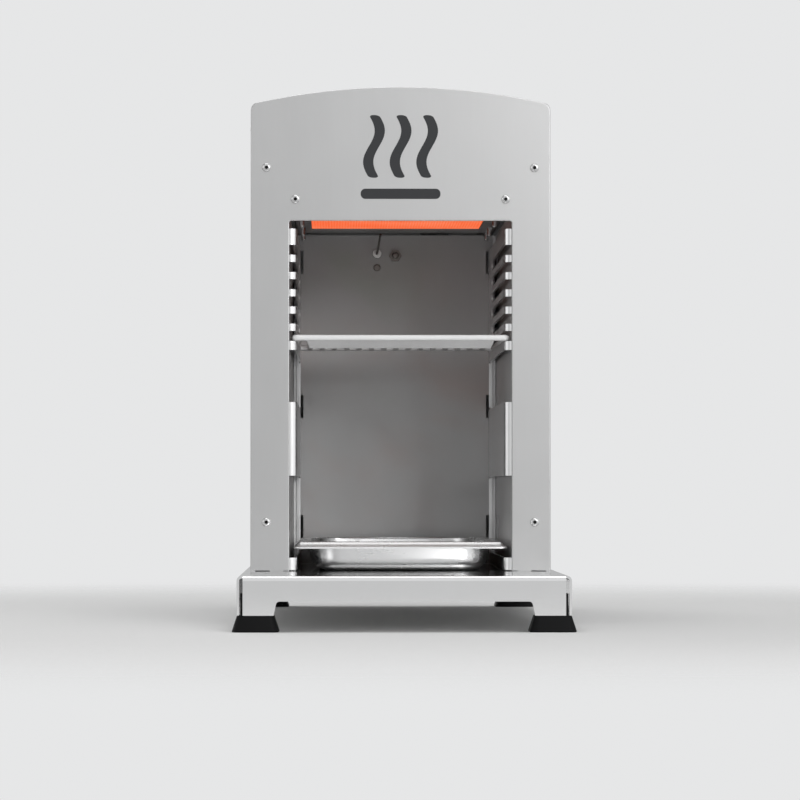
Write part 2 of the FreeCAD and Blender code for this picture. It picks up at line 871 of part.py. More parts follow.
def rack():
    """The right one: a plate with six slots and two tall cut-outs, hooked into the back wall."""
    y0 = panel_y + panel_sheet + sheet_gap
    y1 = back_wall_y - sheet_gap
    low = base_top + rack_bottom
    top = base_top + rack_top
    inner_x = rack_half_gap
    outer = block(inner_x, rack_flange_reach, y0, y1, low, top)
    outer = rounded(outer, rack_bend, "z", x=(inner_x, inner_x), y=(y0, y0))
    outer = rounded(outer, 2.0, "z", x=(inner_x, inner_x), y=(y1, y1))
    face_x = inner_x + rack_sheet
    hollow = block(face_x, rack_flange_reach + 1, y0 + rack_sheet, y1 - rack_sheet, low - 1, top + 1)
    front_y = y0 + rack_sheet
    hollow = rounded(hollow, rack_bend - rack_sheet, "z", x=(face_x, face_x), y=(front_y, front_y))
    shell = outer.cut(hollow)
    trim_x = inner_x + rack_rear_flange
    trim = block(trim_x, rack_flange_reach + 1, y1 - rack_sheet - 1, y1 + 1, low - 1, top + 1)
    shell = shell.cut(trim)
    reach_x = chamber_half_width + sheet_gap
    for z in rack_slot_bottoms():
        y_end = panel_y + slot_depth
        cutter = block(inner_x - 1, reach_x, y0 - 1, y_end, z, z + slot_height)
        cutter = rounded(cutter, slot_height / 2 - 0.1, "x", y=(y_end, y_end))
        shell = shell.cut(cutter)
    for bottom, height in (cutout_low, cutout_high):
        y_end = y1 - cutout_rear_margin
        cutter = block(inner_x - 1, reach_x, y0 - 1, y_end, base_top + bottom, base_top + height)
        cutter = rounded(cutter, cutout_corner, "x", y=(y_end, y_end))
        shell = shell.cut(cutter)
    for bottom in hook_slot_bottoms:
        shell = shell.fuse(rack_hook(base_top + bottom))
    return shell.removeSplitter()


def rack_hook(slot_bottom):
    """A tongue in line with the plate that reaches through the wall, with a lip that points down."""
    x0 = rack_half_gap
    x1 = x0 + rack_sheet
    y0 = back_wall_y - sheet_gap - 2.0
    y1 = back_wall_y + hook_length
    z1 = slot_bottom + hook_slot_height - 1.0
    z0 = slot_bottom + (1 - hook_tongue_share) * hook_slot_height
    tongue = block(x0, x1, y0, y1, z0, z1)
    lip_y = y1 - hook_lip_thickness
    lip = block(x0, x1, lip_y, y1, z0 - hook_lip, z0)
    return tongue.fuse(lip)


def burner_housing():
    z0 = base_top + burner_face
    half = burner_half_width
    y0 = panel_y + burner_box_front
    y1 = panel_y + burner_box_rear
    z1 = z0 + burner_box_height
    box = rounded(block(-half, half, y0, y1, z0, z1), casing_bend, z=(z1, z1))
    t = burner_sheet
    box = box.cut(block(t - half, half - t, y0 + t, y1 - t, z0 - 1, z1 - t))
    reach = chamber_half_width - burner_flange_gap
    ring_rear = back_wall_y - burner_flange_rear_gap
    ring = block(-reach, reach, y0 - burner_flange_front, ring_rear, z0, z0 + t)
    window = block(
        -window_half_width, window_half_width,
        panel_y + window_front, panel_y + window_rear, z0 - 1, z0 + t + 1,
    )
    housing = box.fuse(ring).cut(window)
    for x, y in stud_places():
        housing = housing.cut(rod(x, y, z0 - 1, stud_radius, t + 2))
    inlet = rod(valve_offset, y1 - 5, base_top + mixer_height, mixer_outer, 10, Vector(0, 1, 0))
    return housing.cut(inlet)


def stud_places():
    return [(s * stud_offset, panel_y + d) for d in stud_depths for s in (-1, 1)]


def burner_tiles():
    z0 = base_top + tile_bed
    y0 = panel_y + tile_front
    y1 = panel_y + tile_rear
    middle = (y0 + y1) / 2
    spans = ((y0, middle - tile_seam / 2), (middle + tile_seam / 2, y1))
    w = tile_half_width
    return [block(-w, w, a, b, z0, z0 + tile_thickness) for a, b in spans]


def tile_gasket():
    """The strip of ceramic felt between the tiles and the housing's walls."""
    z0 = base_top + tile_bed
    half = tile_half_width + gasket_side
    y0 = panel_y + burner_box_front + burner_sheet
    y1 = panel_y + burner_box_rear - burner_sheet
    ring = block(-half, half, y0, y1, z0, z0 + tile_thickness)
    w = tile_half_width
    return ring.cut(block(-w, w, panel_y + tile_front, panel_y + tile_rear, z0 - 1, z0 + 50))


def gas_baffle():
    """A bridge over the tiles that spreads the gas and air along them."""
    z0 = base_top + tile_top
    z1 = z0 + baffle_rise
    y0 = panel_y + burner_box_front + baffle_margin
    y1 = panel_y + burner_box_rear - baffle_margin
    w = tile_half_width - baffle_side_gap
    t = burner_sheet
    bridge = rounded(block(-w, w, y0, y1, z0, z1), casing_bend, "y", z=(z1, z1))
    bridge = bridge.cut(block(t - w, w - t, y0 - 1, y1 + 1, z0 - 1, z1 - t))
    for i in range(baffle_hole_rows):
        y = y0 + (i + 0.5) * (y1 - y0) / baffle_hole_rows
        for x in (-w / 2, 0, w / 2):
            bridge = bridge.cut(rod(x, y, z1 - 5, baffle_hole_radius, 10))
    return bridge


def burner_rail():
    """The right one: an angle bar from the front panel to the rear panel with an upright tab at each end."""
    y0 = panel_y + panel_sheet
    z1 = base_top + rail_height + casing_sheet
    z0 = z1 - casing_sheet
    t = casing_sheet
    rail = block(rail_inner, rail_outer, y0, rear_inside_y, z0, z1)
    rail = rail.fuse(block(rail_outer - t, rail_outer, y0, rear_inside_y, z0 - rail_web, z1))
    rail = rounded(rail, rail_round, "y", x=(rail_outer, rail_outer), z=(z1, z1))
    hole = screw_shank_radius + screw_clearance
    for a in (y0, rear_inside_y - t):
        rail = rail.fuse(block(rail_inner, rail_outer, a, a + t, z0 - rail_web, z1))
        z = base_top + rail_screw_height
        rail = rail.cut(rod(rail_screw_offset, a - 1, z, hole, t + 2, Vector(0, 1, 0)))
    for x, y in stud_places():
        if x > 0:
            rail = rail.cut(rod(x, y, z0 - 1, stud_radius + screw_clearance, t + 2))
    return rail.removeSplitter()


def burner_studs():
    z0 = base_top + burner_face - stud_drop
    studs = []
    for x, y in stud_places():
        stud = rod(x, y, z0, stud_radius, base_top + stud_top - z0)
        studs.append(rounded(stud, stud_radius * 0.7, z=(z0, z0)))
    return studs


def burner_nuts():
    rail_top = base_top + rail_height + casing_sheet
    levels = (rail_top, rail_top - casing_sheet - small_nut_height)
    nuts = []
    for x, y in stud_places():
        for z in levels:
            piece = nut(small_nut_across_flats, small_nut_height, stud_radius)
            piece.rotate(Vector(0, 0, 0), Vector(0, 0, 1), 30)
            piece.translate(Vector(x, y, z))
            nuts.append(piece)
    return nuts


def heat_shield():
    """An upside-down channel over the housing that stands on the rails."""
    t = casing_sheet
    y0 = panel_y + shield_front
    y1 = panel_y + shield_rear
    z0 = base_top + rail_height + casing_sheet
    z1 = base_top + shield_height
    half = rail_outer
    shield = rounded(block(-half, half, y0, y1, z0, z1), casing_bend, "y", z=(z1, z1))
    hollow = block(t - half, half - t, y0 - 1, y1 + 1, z0 - 1, z1 - t)
    hollow = rounded(hollow, casing_bend - t, "y", z=(z1 - t, z1))
    return shield.cut(hollow)


def valve_body():
    z = base_top + valve_height
    y = panel_y + valve_depth
    w = valve_width / 2
    t = valve_thickness / 2
    h = valve_body_height / 2
    body = block(valve_offset - w, valve_offset + w, y - t, y + t, z - h, z + h)
    body = rounded(body, valve_corner, "y")
    reach = rear_y + valve_neck_reach - (y + t)
    body = body.fuse(rod(valve_offset, y + t, z, valve_neck_radius, reach, Vector(0, 1, 0)))
    shoulder = rear_inside_y - (y + t)
    along = Vector(0, 1, 0)
    body = body.fuse(rod(valve_offset, y + t, z, valve_neck_radius + valve_shoulder, shoulder, along))
    wide = stem_foot() - knob_press - sheet_gap
    narrow = stem_foot() - running_gap - plunger_length - knob_press - sheet_gap
    body = body.cut(rod(valve_offset, wide, z, stem_radius + running_gap, 60, along))
    body = body.cut(rod(valve_offset, narrow, z, plunger_radius + running_gap, 60, along))
    body = body.cut(rod(valve_offset, y, z - h - 1, tube_outer, valve_tube_socket + 1))
    return body.cut(rod(valve_offset, y, z - h, injector_bore, 2 * h + 1))


def valve_nut():
    piece = nut(valve_nut_across_flats, valve_nut_thickness, valve_neck_radius)
    return placed(piece, valve_offset, rear_y, base_top + valve_height, Vector(0, 1, 0))


def stem_foot():
    return panel_y + valve_depth + valve_thickness / 2 - stem_seat


def valve_plunger():
    """The pin that the pressed stem pushes in to lift the safety valve off its seat."""
    y1 = stem_foot() - running_gap
    y0 = y1 - plunger_length
    z = base_top + valve_height
    return rod(valve_offset, y0, z, plunger_radius, plunger_length, Vector(0, 1, 0))


def valve_stem():
    y0 = stem_foot()
    y1 = rear_y + knob_gap + knob_bore_depth
    return rod(valve_offset, y0, base_top + valve_height, stem_radius, y1 - y0, Vector(0, 1, 0))


def control_knob():
    """Made along +Z with its face up, then turned to face the rear."""
    grip = Part.makeCylinder(knob_radius, knob_length)
    for i in range(knob_grip_count):
        turn = math.radians(360 * (i + 0.5) / knob_grip_count)
        reach = knob_radius + knob_groove_set_out
        x = reach * math.cos(turn)
        y = reach * math.sin(turn)
        groove = Part.makeCylinder(knob_grip_radius, knob_length, Vector(x, y, knob_skirt_height))
        grip = grip.cut(groove)
    skirt = Part.makeCylinder(knob_skirt_radius, knob_skirt_height)
    knob = grip.fuse(skirt)
    knob = knob.cut(Part.makeCylinder(stem_radius, knob_bore_depth))
    knob = knob.cut(Part.makeCylinder(knob_recess_radius, knob_recess_depth))
    face = knob_length
    half = knob_pointer_width / 2
    pointer = block(-half, half, knob_pointer_start, knob_radius + 1, face - knob_pointer_depth, face + 1)
    knob = knob.cut(pointer)
    y = rear_y + knob_gap
    return placed(knob, valve_offset, y, base_top + valve_height, Vector(0, 1, 0))


def injector():
    z = base_top + valve_height + valve_body_height / 2
    y = panel_y + valve_depth
    body = rounded(hexagon(injector_hex, injector_hex_height), 0.5, z=(injector_hex_height, 50))
    tip = Part.makeCone(
        injector_tip_radius, injector_tip_radius * 0.5, injector_tip_height,
        Vector(0, 0, injector_hex_height),
    )
    body = body.fuse(tip).cut(Part.makeCylinder(injector_bore, 50))
    body.translate(Vector(valve_offset, y, z))
    return body


def mixing_tube():
    """Rises from the injector, bends forward and enters the housing's rear wall."""
    y_up = panel_y + valve_depth
    y_in = panel_y + burner_box_rear - mixer_entry
    z_in = base_top + mixer_height
    low = base_top + valve_height + valve_body_height / 2 + injector_hex_height
    low += injector_tip_height - mixer_bell_gap
    neck = low + mixer_bell_height
    points = [
        Vector(valve_offset, y_up, neck),
        Vector(valve_offset, y_up, z_in),
        Vector(valve_offset, y_in, z_in),
    ]
    wall = mixer_outer - mixer_inner
    at = Vector(valve_offset, y_up, low)
    solid = bent_tube(points, mixer_outer, mixer_bend)
    solid = solid.fuse(Part.makeCone(mixer_bell_radius, mixer_outer, mixer_bell_height, at))
    points[0] = Vector(valve_offset, y_up, neck - 0.1)
    points[2] = Vector(valve_offset, y_in - 1, z_in)
    hollow = bent_tube(points, mixer_inner, mixer_bend)
    hollow = hollow.fuse(Part.makeCone(mixer_bell_radius - wall, mixer_inner, mixer_bell_height, at))
    hollow = hollow.fuse(rod(valve_offset, y_up, low - 1, mixer_bell_radius - wall, 1.2))
    return solid.cut(hollow)


def gas_tube():
    z_top = base_top + valve_height - valve_body_height / 2 + valve_tube_socket
    z_low = base_top + inlet_height
    y = panel_y + valve_depth
    y_end = rear_inside_y - inlet_body_length + tube_socket
    points = [
        Vector(valve_offset, y, z_top),
        Vector(valve_offset, y, z_low),
        Vector(valve_offset, y_end, z_low),
    ]
    outside = bent_tube(points, tube_outer, tube_bend)
    return outside.cut(bent_tube(points, tube_inner, tube_bend))


def gas_inlet():
    """A bulkhead fitting: a hexagon inside the rear panel, a neck through it and a thread for the hose."""
    z = base_top + inlet_height
    y0 = rear_inside_y - inlet_body_length
    body = placed(hexagon(inlet_hex, inlet_body_length), valve_offset, y0, z, Vector(0, 1, 0))
    along = Vector(0, 1, 0)
    neck = casing_sheet + inlet_nut_thickness + inlet_neck_proud
    relief = neck + inlet_relief_length
    thread_y = rear_inside_y + relief
    body = body.fuse(rod(valve_offset, rear_inside_y, z, inlet_neck_radius, neck, along))
    body = body.fuse(rod(valve_offset, rear_inside_y, z, inlet_radius - inlet_relief_depth, relief, along))
    body = body.fuse(rod(valve_offset, thread_y, z, inlet_radius, inlet_reach, along))
    body = body.cut(rod(valve_offset, y0 - 1, z, inlet_bore, relief + inlet_reach + 20, along))
    return body.cut(rod(valve_offset, y0 - 1, z, tube_outer, tube_socket + 1, along))


def inlet_nut():
    piece = nut(inlet_nut_across_flats, inlet_nut_thickness, inlet_neck_radius)
    return placed(piece, valve_offset, rear_y, base_top + inlet_height, Vector(0, 1, 0))


def igniter_bore_floor():
    """Where the spring seats: the pressed button leaves room for its closed coils."""
    closed_coils = (spring_turns + 1) * 2 * spring_wire
    return button_foot() - button_travel - closed_coils - spring_spare


def igniter_body():
    z = base_top + igniter_height
    y0 = rear_inside_y - igniter_length
    along = Vector(0, 1, 0)
    body = rod(igniter_offset, y0, z, igniter_radius, igniter_length, along)
    body = rounded(body, igniter_rear_round, y=(y0, y0))
    neck = casing_sheet + igniter_neck_reach
    body = body.fuse(rod(igniter_offset, rear_inside_y, z, igniter_neck_radius, neck, along))
    floor = igniter_bore_floor()
    lip = rear_y + igniter_neck_reach - button_flange_height
    wide = rod(igniter_offset, floor, z, button_flange_radius + running_gap, lip - floor - 2.0, along)
    narrow = rod(igniter_offset, floor, z, button_radius + running_gap, 60, along)
    return body.cut(wide).cut(narrow)


def igniter_nut():
    z = base_top + igniter_height
    ring = rod(igniter_offset, rear_y, z, igniter_nut_radius, igniter_nut_thickness, Vector(0, 1, 0))
    ring = rounded(ring, igniter_nut_round, y=(rear_y + igniter_nut_thickness, rear_reach))
    return ring.cut(rod(igniter_offset, rear_y - 1, z, igniter_neck_radius, 10, Vector(0, 1, 0)))


def button_foot():
    return rear_y + igniter_neck_reach - button_depth


def igniter_button():
    z = base_top + igniter_height
    along = Vector(0, 1, 0)
    y0 = button_foot()
    length = button_depth + button_reach
    body = rod(igniter_offset, y0, z, button_radius, length, along)
    body = rounded(body, button_edge_round, y=(y0 + length, rear_reach))
    return body.fuse(rod(igniter_offset, y0, z, button_flange_radius, button_flange_height, along))


def igniter_spring():
    """A coil between the bore's floor and the button's foot."""
    y0 = igniter_bore_floor() + spring_wire + 0.05
    y1 = button_foot() - spring_wire - 0.05
    height = y1 - y0
    coil = Part.makeHelix(height / spring_turns, height, spring_radius)
    start = Vector(spring_radius, 0, 0)
    section = Part.Wire(Part.Circle(start, Vector(0, 1, 0), spring_wire).toShape())
    wire = Part.Wire(coil).makePipeShell([section], True, True)
    z = base_top + igniter_height
    return placed(wire, igniter_offset, y0, z, Vector(0, 1, 0))


def electrode_ceramic():
    z = base_top + electrode_height
    y0 = back_wall_y - electrode_front
    along = Vector(0, 1, 0)
    length = electrode_front + electrode_rear
    body = rod(electrode_offset, y0, z, electrode_radius, length, along)
    body = rounded(body, electrode_edge_round, y=(y0, y0))
    collar_y = back_wall_y + 2 * liner_sheet
    collar = rod(electrode_offset, collar_y, z, electrode_collar_radius, electrode_collar_length, along)
    body = body.fuse(collar)
    return body.cut(rod(electrode_offset, y0 - 1, z, electrode_wire_radius, 50, along))


def electrode_rod():
    z = base_top + electrode_height
    start = Vector(electrode_offset, back_wall_y + electrode_rear, z)
    corner = Vector(electrode_offset, back_wall_y - electrode_front - electrode_wire_run, z)
    tip_z = base_top + burner_face - electrode_tip_drop
    tip = Vector(electrode_tip_offset, panel_y + electrode_tip_depth, tip_z)
    return bent_tube([start, corner, tip], electrode_wire_radius, electrode_wire_bend)


def electrode_bracket():
    """Holds the ceramic's collar against the rear of the back wall."""
    z = base_top + electrode_height
    half = bracket_width / 2
    low = z - electrode_screw_drop - bracket_foot
    y0 = back_wall_y + liner_sheet
    plate = block(electrode_offset - half, electrode_offset + half, y0, y0 + liner_sheet, low, z + half)
    plate = rounded(plate, bracket_corner, "y")
    hole = electrode_radius + wall_clearance
    plate = plate.cut(rod(electrode_offset, y0 - 1, z, hole, 4, Vector(0, 1, 0)))
    drop = z - electrode_screw_drop
    return plate.cut(rod(electrode_offset, y0 - 1, drop, screw_shank_radius, 4, Vector(0, 1, 0)))


def electrode_screw():
    z = base_top + electrode_height - electrode_screw_drop
    top = electrode_screw_head
    head = rounded(Part.makeCylinder(electrode_screw_radius, top), electrode_screw_round, z=(top, top))
    head = head.cut(Part.makeCylinder(electrode_screw_socket, top, Vector(0, 0, top / 2)))
    length = electrode_screw_length
    shank = Part.makeCylinder(screw_shank_radius, length, Vector(0, 0, -length))
    return placed(head.fuse(shank), electrode_offset, back_wall_y, z, Vector(0, -1, 0))


def thermocouple():
    """A probe with a hexagon on the chamber's side of the wall."""
    z = base_top + probe_height
    along = Vector(0, 1, 0)
    y0 = back_wall_y - probe_hex_thickness
    body = placed(hexagon(probe_hex, probe_hex_thickness), probe_offset, y0, z, along)
    tip_y = back_wall_y - probe_reach
    tip = rod(probe_offset, tip_y, z, probe_radius, probe_reach, along)
    tip = rounded(tip, probe_tip_round, y=(tip_y, tip_y))
    return body.fuse(tip).fuse(rod(probe_offset, back_wall_y, z, probe_radius, probe_tail, along))


def thermocouple_nut():
    z = base_top + probe_height
    piece = nut(probe_hex, probe_nut_thickness, probe_radius)
    return placed(piece, probe_offset, back_wall_y + liner_sheet, z, Vector(0, 1, 0))


def thermocouple_lead():
    """From the probe, down inside the rear compartment, to the valve's left side."""
    z = base_top + probe_height
    z_valve = base_top + valve_height + probe_lead_rise
    y_wall = back_wall_y + probe_tail + probe_lead_setback
    y_valve = panel_y + valve_depth
    points = [
        Vector(probe_offset, back_wall_y + probe_tail, z),
        Vector(probe_offset, y_wall, z),
        Vector(probe_offset, y_wall, z_valve),
        Vector(probe_offset, y_valve, z_valve),
        Vector(valve_offset - valve_width / 2, y_valve, z_valve),
    ]
    return bent_tube(points, probe_lead_radius, lead_bend)


def igniter_lead():
    """From the electrode's rear end, down inside the rear compartment, to the igniter."""
    z = base_top + electrode_height
    y_wall = back_wall_y + electrode_rear + lead_setback
    y_igniter = rear_inside_y - igniter_length + lead_entry
    z_low = base_top + igniter_height + lead_drop
    points = [
        Vector(electrode_offset, back_wall_y + electrode_rear, z),
        Vector(electrode_offset, y_wall, z),
        Vector(electrode_offset, y_wall, z_low + lead_turn),
        Vector(igniter_offset, y_igniter, z_low),
        Vector(igniter_offset, y_igniter, base_top + igniter_height + igniter_radius),
    ]
    return bent_tube(points, lead_radius, lead_bend)


def grate_level():
    return base_top + slot_first_bottom + moving_gap


def grate_frame():
    """A ring of rounded bar whose sides run in the slots, with a leaning apron under its front."""
    z0 = grate_level()
    z1 = z0 + grate_thickness
    w = grate_half_width
    y0 = panel_y + grate_front
    y1 = y0 + grate_length
    side = w - grate_rim
    ring = rounded(block(-w, w, y0, y1, z0, z1), grate_rim, "z")
    ring = ring.cut(block(-side, side, y0 + grate_rim, y1 - grate_rim, z0 - 1, z1 + 1))
    ring = rounded(ring, grate_edge_round, z=(z1, z1))
    ring = rounded(ring, grate_edge_round, z=(z0, z0))
    top_y = y0 + apron_setback
    low_y = top_y + apron_lean
    half_low = apron_half_top - apron_taper
    corners = [
        Vector(-apron_half_top, top_y, z0 + apron_root),
        Vector(apron_half_top, top_y, z0 + apron_root),
        Vector(half_low, low_y, z0 - apron_drop),
        Vector(-half_low, low_y, z0 - apron_drop),
    ]
    apron = Part.Face(Part.makePolygon(corners + corners[:1])).extrude(Vector(0, apron_sheet, 0))
    return ring.fuse(apron).removeSplitter()


def grate_bars():
    z1 = grate_level() + grate_thickness - grate_bar_set_down
    z0 = z1 - grate_bar_height
    y0 = panel_y + grate_front + grate_rim
    y1 = panel_y + grate_front + grate_length - grate_rim
    half = grate_bar_width / 2
    reach = apron_half_top - half
    pitch = 2 * reach / (grate_bar_count - 1)
    bars = []
    for i in range(grate_bar_count):
        x = i * pitch - reach
        bar = block(x - half, x + half, y0, y1, z0, z1)
        bars.append(rounded(bar, grate_bar_round, "y", z=(z1, z1)))
    return bars


def pan_shape(inset):
    """The pan's body as a solid, drawn in by the inset on its sides and floor."""
    z0 = base_top + moving_gap + inset
    z1 = base_top + pan_height - 0.01 + inset * 2
    y = panel_y + pan_front + pan_length / 2
    width = pan_body_width - 2 * inset
    length = pan_body_length - 2 * inset
    low = rounded_rectangle(
        0, y, z0, width - 2 * pan_draft, length - 2 * pan_draft, pan_corner - inset - pan_draft / 2
    )
    high = rounded_rectangle(0, y, z1, width, length, pan_corner - inset)
    body = Part.makeLoft([low, high], True, False)
    return rounded(body, pan_floor_round - inset, z=(z0, z0))


def pan_rim_shape(inset, z_shift):
    """The sloping skirt outside the ridge, drawn in by the inset."""
    top = base_top + pan_height + z_shift
    low = top - pan_rim_drop
    y = panel_y + pan_front + pan_length / 2
    width = pan_width - 2 * inset
    length = pan_length - 2 * inset
    outer = rounded_rectangle(0, y, low, width, length, pan_rim_corner - inset)
    ridge = rounded_rectangle(
        0, y, top, width - 2 * pan_rim_slope, length - 2 * pan_rim_slope,
        pan_rim_corner - inset - pan_rim_slope / 2,
    )
    return Part.makeLoft([outer, ridge], True, False)


def drip_pan():
    top = base_top + pan_height
    rim = pan_rim_shape(0, 0)
    rim = rounded(rim, pan_ridge_round, z=(top, top))
    under = pan_rim_shape(pan_sheet, -pan_sheet)
    lower = under.BoundBox.ZMin
    reach = pan_width
    clear = block(-reach, reach, panel_y - 50, panel_y + pan_length + 50, lower - 10, top - pan_rim_drop)
    rim = rim.cut(under).cut(clear)
    body = pan_shape(0).cut(block(-reach, reach, panel_y - 50, panel_y + 400, top - pan_sheet, top + 50))
    solid = rim.fuse(body)
    return solid.cut(pan_shape(pan_sheet)).removeSplitter()


def exported(name, shapes):
    shape = Part.makeCompound(shapes) if isinstance(shapes, list) else shapes
    for solid in shape.Solids:
        if not solid.isValid() or solid.Volume <= 0:
            print("check", name, solid.isValid(), round(solid.Volume, 2))
    shape.exportStep("parts/" + name + ".step")
    print(name, len(shape.Solids), round(shape.Volume, 1))


def main():
    os.makedirs("parts", exist_ok=True)
    bent = bent_base()
    exported("base_plate", base_plate(bent))
    for name, (x, y) in foot_places().items():
        exported(name, foot(x, y))
        exported(name.replace("foot", "base_leg"), base_leg(bent, x, y))
    single = (
        foot_studs, foot_nuts, base_screws, base_nuts, front_panel, panel_screws, top_cover,
        top_cover_screws, rear_panel, rear_panel_screws, chamber_back_wall, burner_housing,
        burner_tiles, tile_gasket, gas_baffle, burner_studs, burner_nuts, heat_shield, valve_body,
        valve_nut, valve_plunger, valve_stem, control_knob, injector, mixing_tube, gas_tube, gas_inlet,
        inlet_nut, igniter_body, igniter_nut, igniter_button, igniter_spring, electrode_ceramic,
        electrode_rod, electrode_bracket, electrode_screw, thermocouple, thermocouple_nut,
        thermocouple_lead, igniter_lead, grate_frame, grate_bars, drip_pan,
    )
    for make in single:
        exported(make.__name__, make())
    for make in (side_panel, chamber_wall, rack, burner_rail):
        right = make()
        exported(make.__name__ + "_right", right)
        exported(make.__name__ + "_left", mirrored(right))


main()
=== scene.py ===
import bmesh
import bpy
import math
from mathutils import Matrix, Vector


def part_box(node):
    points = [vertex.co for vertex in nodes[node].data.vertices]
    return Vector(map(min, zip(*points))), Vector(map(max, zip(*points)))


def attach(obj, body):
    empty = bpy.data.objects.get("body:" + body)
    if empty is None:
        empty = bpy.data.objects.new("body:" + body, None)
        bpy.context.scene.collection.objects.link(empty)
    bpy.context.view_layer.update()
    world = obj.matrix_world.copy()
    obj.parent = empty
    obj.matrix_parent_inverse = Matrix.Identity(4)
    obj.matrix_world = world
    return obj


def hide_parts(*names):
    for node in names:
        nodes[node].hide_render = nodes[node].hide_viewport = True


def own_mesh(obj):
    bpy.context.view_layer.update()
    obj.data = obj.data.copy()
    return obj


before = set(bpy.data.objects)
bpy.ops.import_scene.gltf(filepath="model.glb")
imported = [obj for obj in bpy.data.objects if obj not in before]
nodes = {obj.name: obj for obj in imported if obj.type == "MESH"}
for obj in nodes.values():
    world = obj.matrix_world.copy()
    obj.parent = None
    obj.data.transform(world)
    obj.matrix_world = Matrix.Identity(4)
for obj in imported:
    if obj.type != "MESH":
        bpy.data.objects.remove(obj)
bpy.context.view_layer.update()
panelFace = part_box("front_panel")[0].y
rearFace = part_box("rear_panel")[1].y
print("frame loaded:", len(nodes), "nodes")


# Camera and stage

cameraSettings = {
    "offset": -0.0546,        # from the grill's middle
    "distance": 3.4263,       # in front of the panel's face
    "height": 0.11184,
    "pitch": 1.228,
    "yaw": -0.905,
    "lens": 186.65,
    "sensor": 36.0,
    "farthest": 50.0,
}
stageSettings = {
    "floorSize": 12.0,
    "floorColor": (0.80, 0.80, 0.795, 1.0),
    "floorRoughness": 0.85,
    "floorFades": (0.45, 1.5),            # metres from the grill
    "worldColor": (0.90, 0.905, 0.91, 1.0),
    "lightStrength": 0.45,                # what lights the floor and the dull surfaces
    "seenStrength": 0.88,
    "dimReflection": 0.29,                # what the metal mirrors, away from the bright sides
    "brightSides": (
        # side of the room, strength added towards it, where it starts (1 is dead on)
        ((0.62, -0.68, 0.40), 0.56, 0.35),
        ((-0.45, 0.80, 0.40), 0.34, 0.35),
        ((-0.80, -0.55, 0.22), 0.32, 0.35),
        ((1.0, -0.2, 0.1), 0.42, 0.6),    # narrow, for the sheet edges that face right
    ),
}
lamps = [
    # name, place, size, watts, point it faces, seen in the metal
    ("keySoftbox", (1.15, -2.9, 1.15), 1.2, 18.0, (0.0, 0.0, 0.2), True),
    ("fillSoftbox", (-2.4, -1.6, 0.9), 1.4, 6.0, (0.0, 0.0, 0.2), True),
    ("overhead", (0.0, -0.2, 2.6), 1.8, 20.0, (0.0, 0.0, 0.2), True),
    ("rearSoftbox", (-1.3, 2.5, 1.5), 2.2, 13.0, (0.0, 0.0, 0.2), True),
    ("innerFill", (0.25, -3.1, 0.32), 0.7, 20.0, (0.0, 0.1, 0.28), False),
]


def makeCamera():
    data = bpy.data.cameras.new("camera")
    data.lens = cameraSettings["lens"]
    data.sensor_width = cameraSettings["sensor"]
    data.clip_end = cameraSettings["farthest"]
    camera = bpy.data.objects.new("camera", data)
    y = panelFace - cameraSettings["distance"]
    camera.location = (cameraSettings["offset"], y, cameraSettings["height"])
    pitch = math.radians(90.0 + cameraSettings["pitch"])
    camera.rotation_euler = (pitch, 0.0, math.radians(cameraSettings["yaw"]))
    bpy.context.scene.collection.objects.link(camera)
    bpy.context.scene.camera = camera


def makeLamps():
    for name, place, size, watts, target, mirrored in lamps:
        data = bpy.data.lights.new(name, "AREA")
        data.shape = "SQUARE"
        data.size = size
        data.energy = watts
        lamp = bpy.data.objects.new(name, data)
        lamp.location = place
        lamp.visible_glossy = mirrored
        lamp.rotation_euler = (Vector(target) - Vector(place)).to_track_quat("-Z", "Y").to_euler()
        bpy.context.scene.collection.objects.link(lamp)


def addMath(tree, operation, first, second):
    node = tree.nodes.new("ShaderNodeMath")
    node.operation = operation
    for i, value in enumerate((first, second)):
        if isinstance(value, bpy.types.NodeSocket):
            tree.links.new(value, node.inputs[i])
        else:
            node.inputs[i].default_value = value
    return node.outputs["Value"]


def facingSide(tree, direction, side, strength, start):
    # bright towards one side of the room, nothing on the other
    dot = tree.nodes.new("ShaderNodeVectorMath")
    dot.operation = "DOT_PRODUCT"
    tree.links.new(direction, dot.inputs[0])
    dot.inputs[1].default_value = Vector(side).normalized()
    ramp = tree.nodes.new("ShaderNodeMapRange")
    ramp.interpolation_type = "SMOOTHSTEP"
    ramp.inputs["From Min"].default_value = start
    ramp.inputs["To Max"].default_value = strength
    tree.links.new(dot.outputs["Value"], ramp.inputs["Value"])
    return ramp.outputs["Result"]


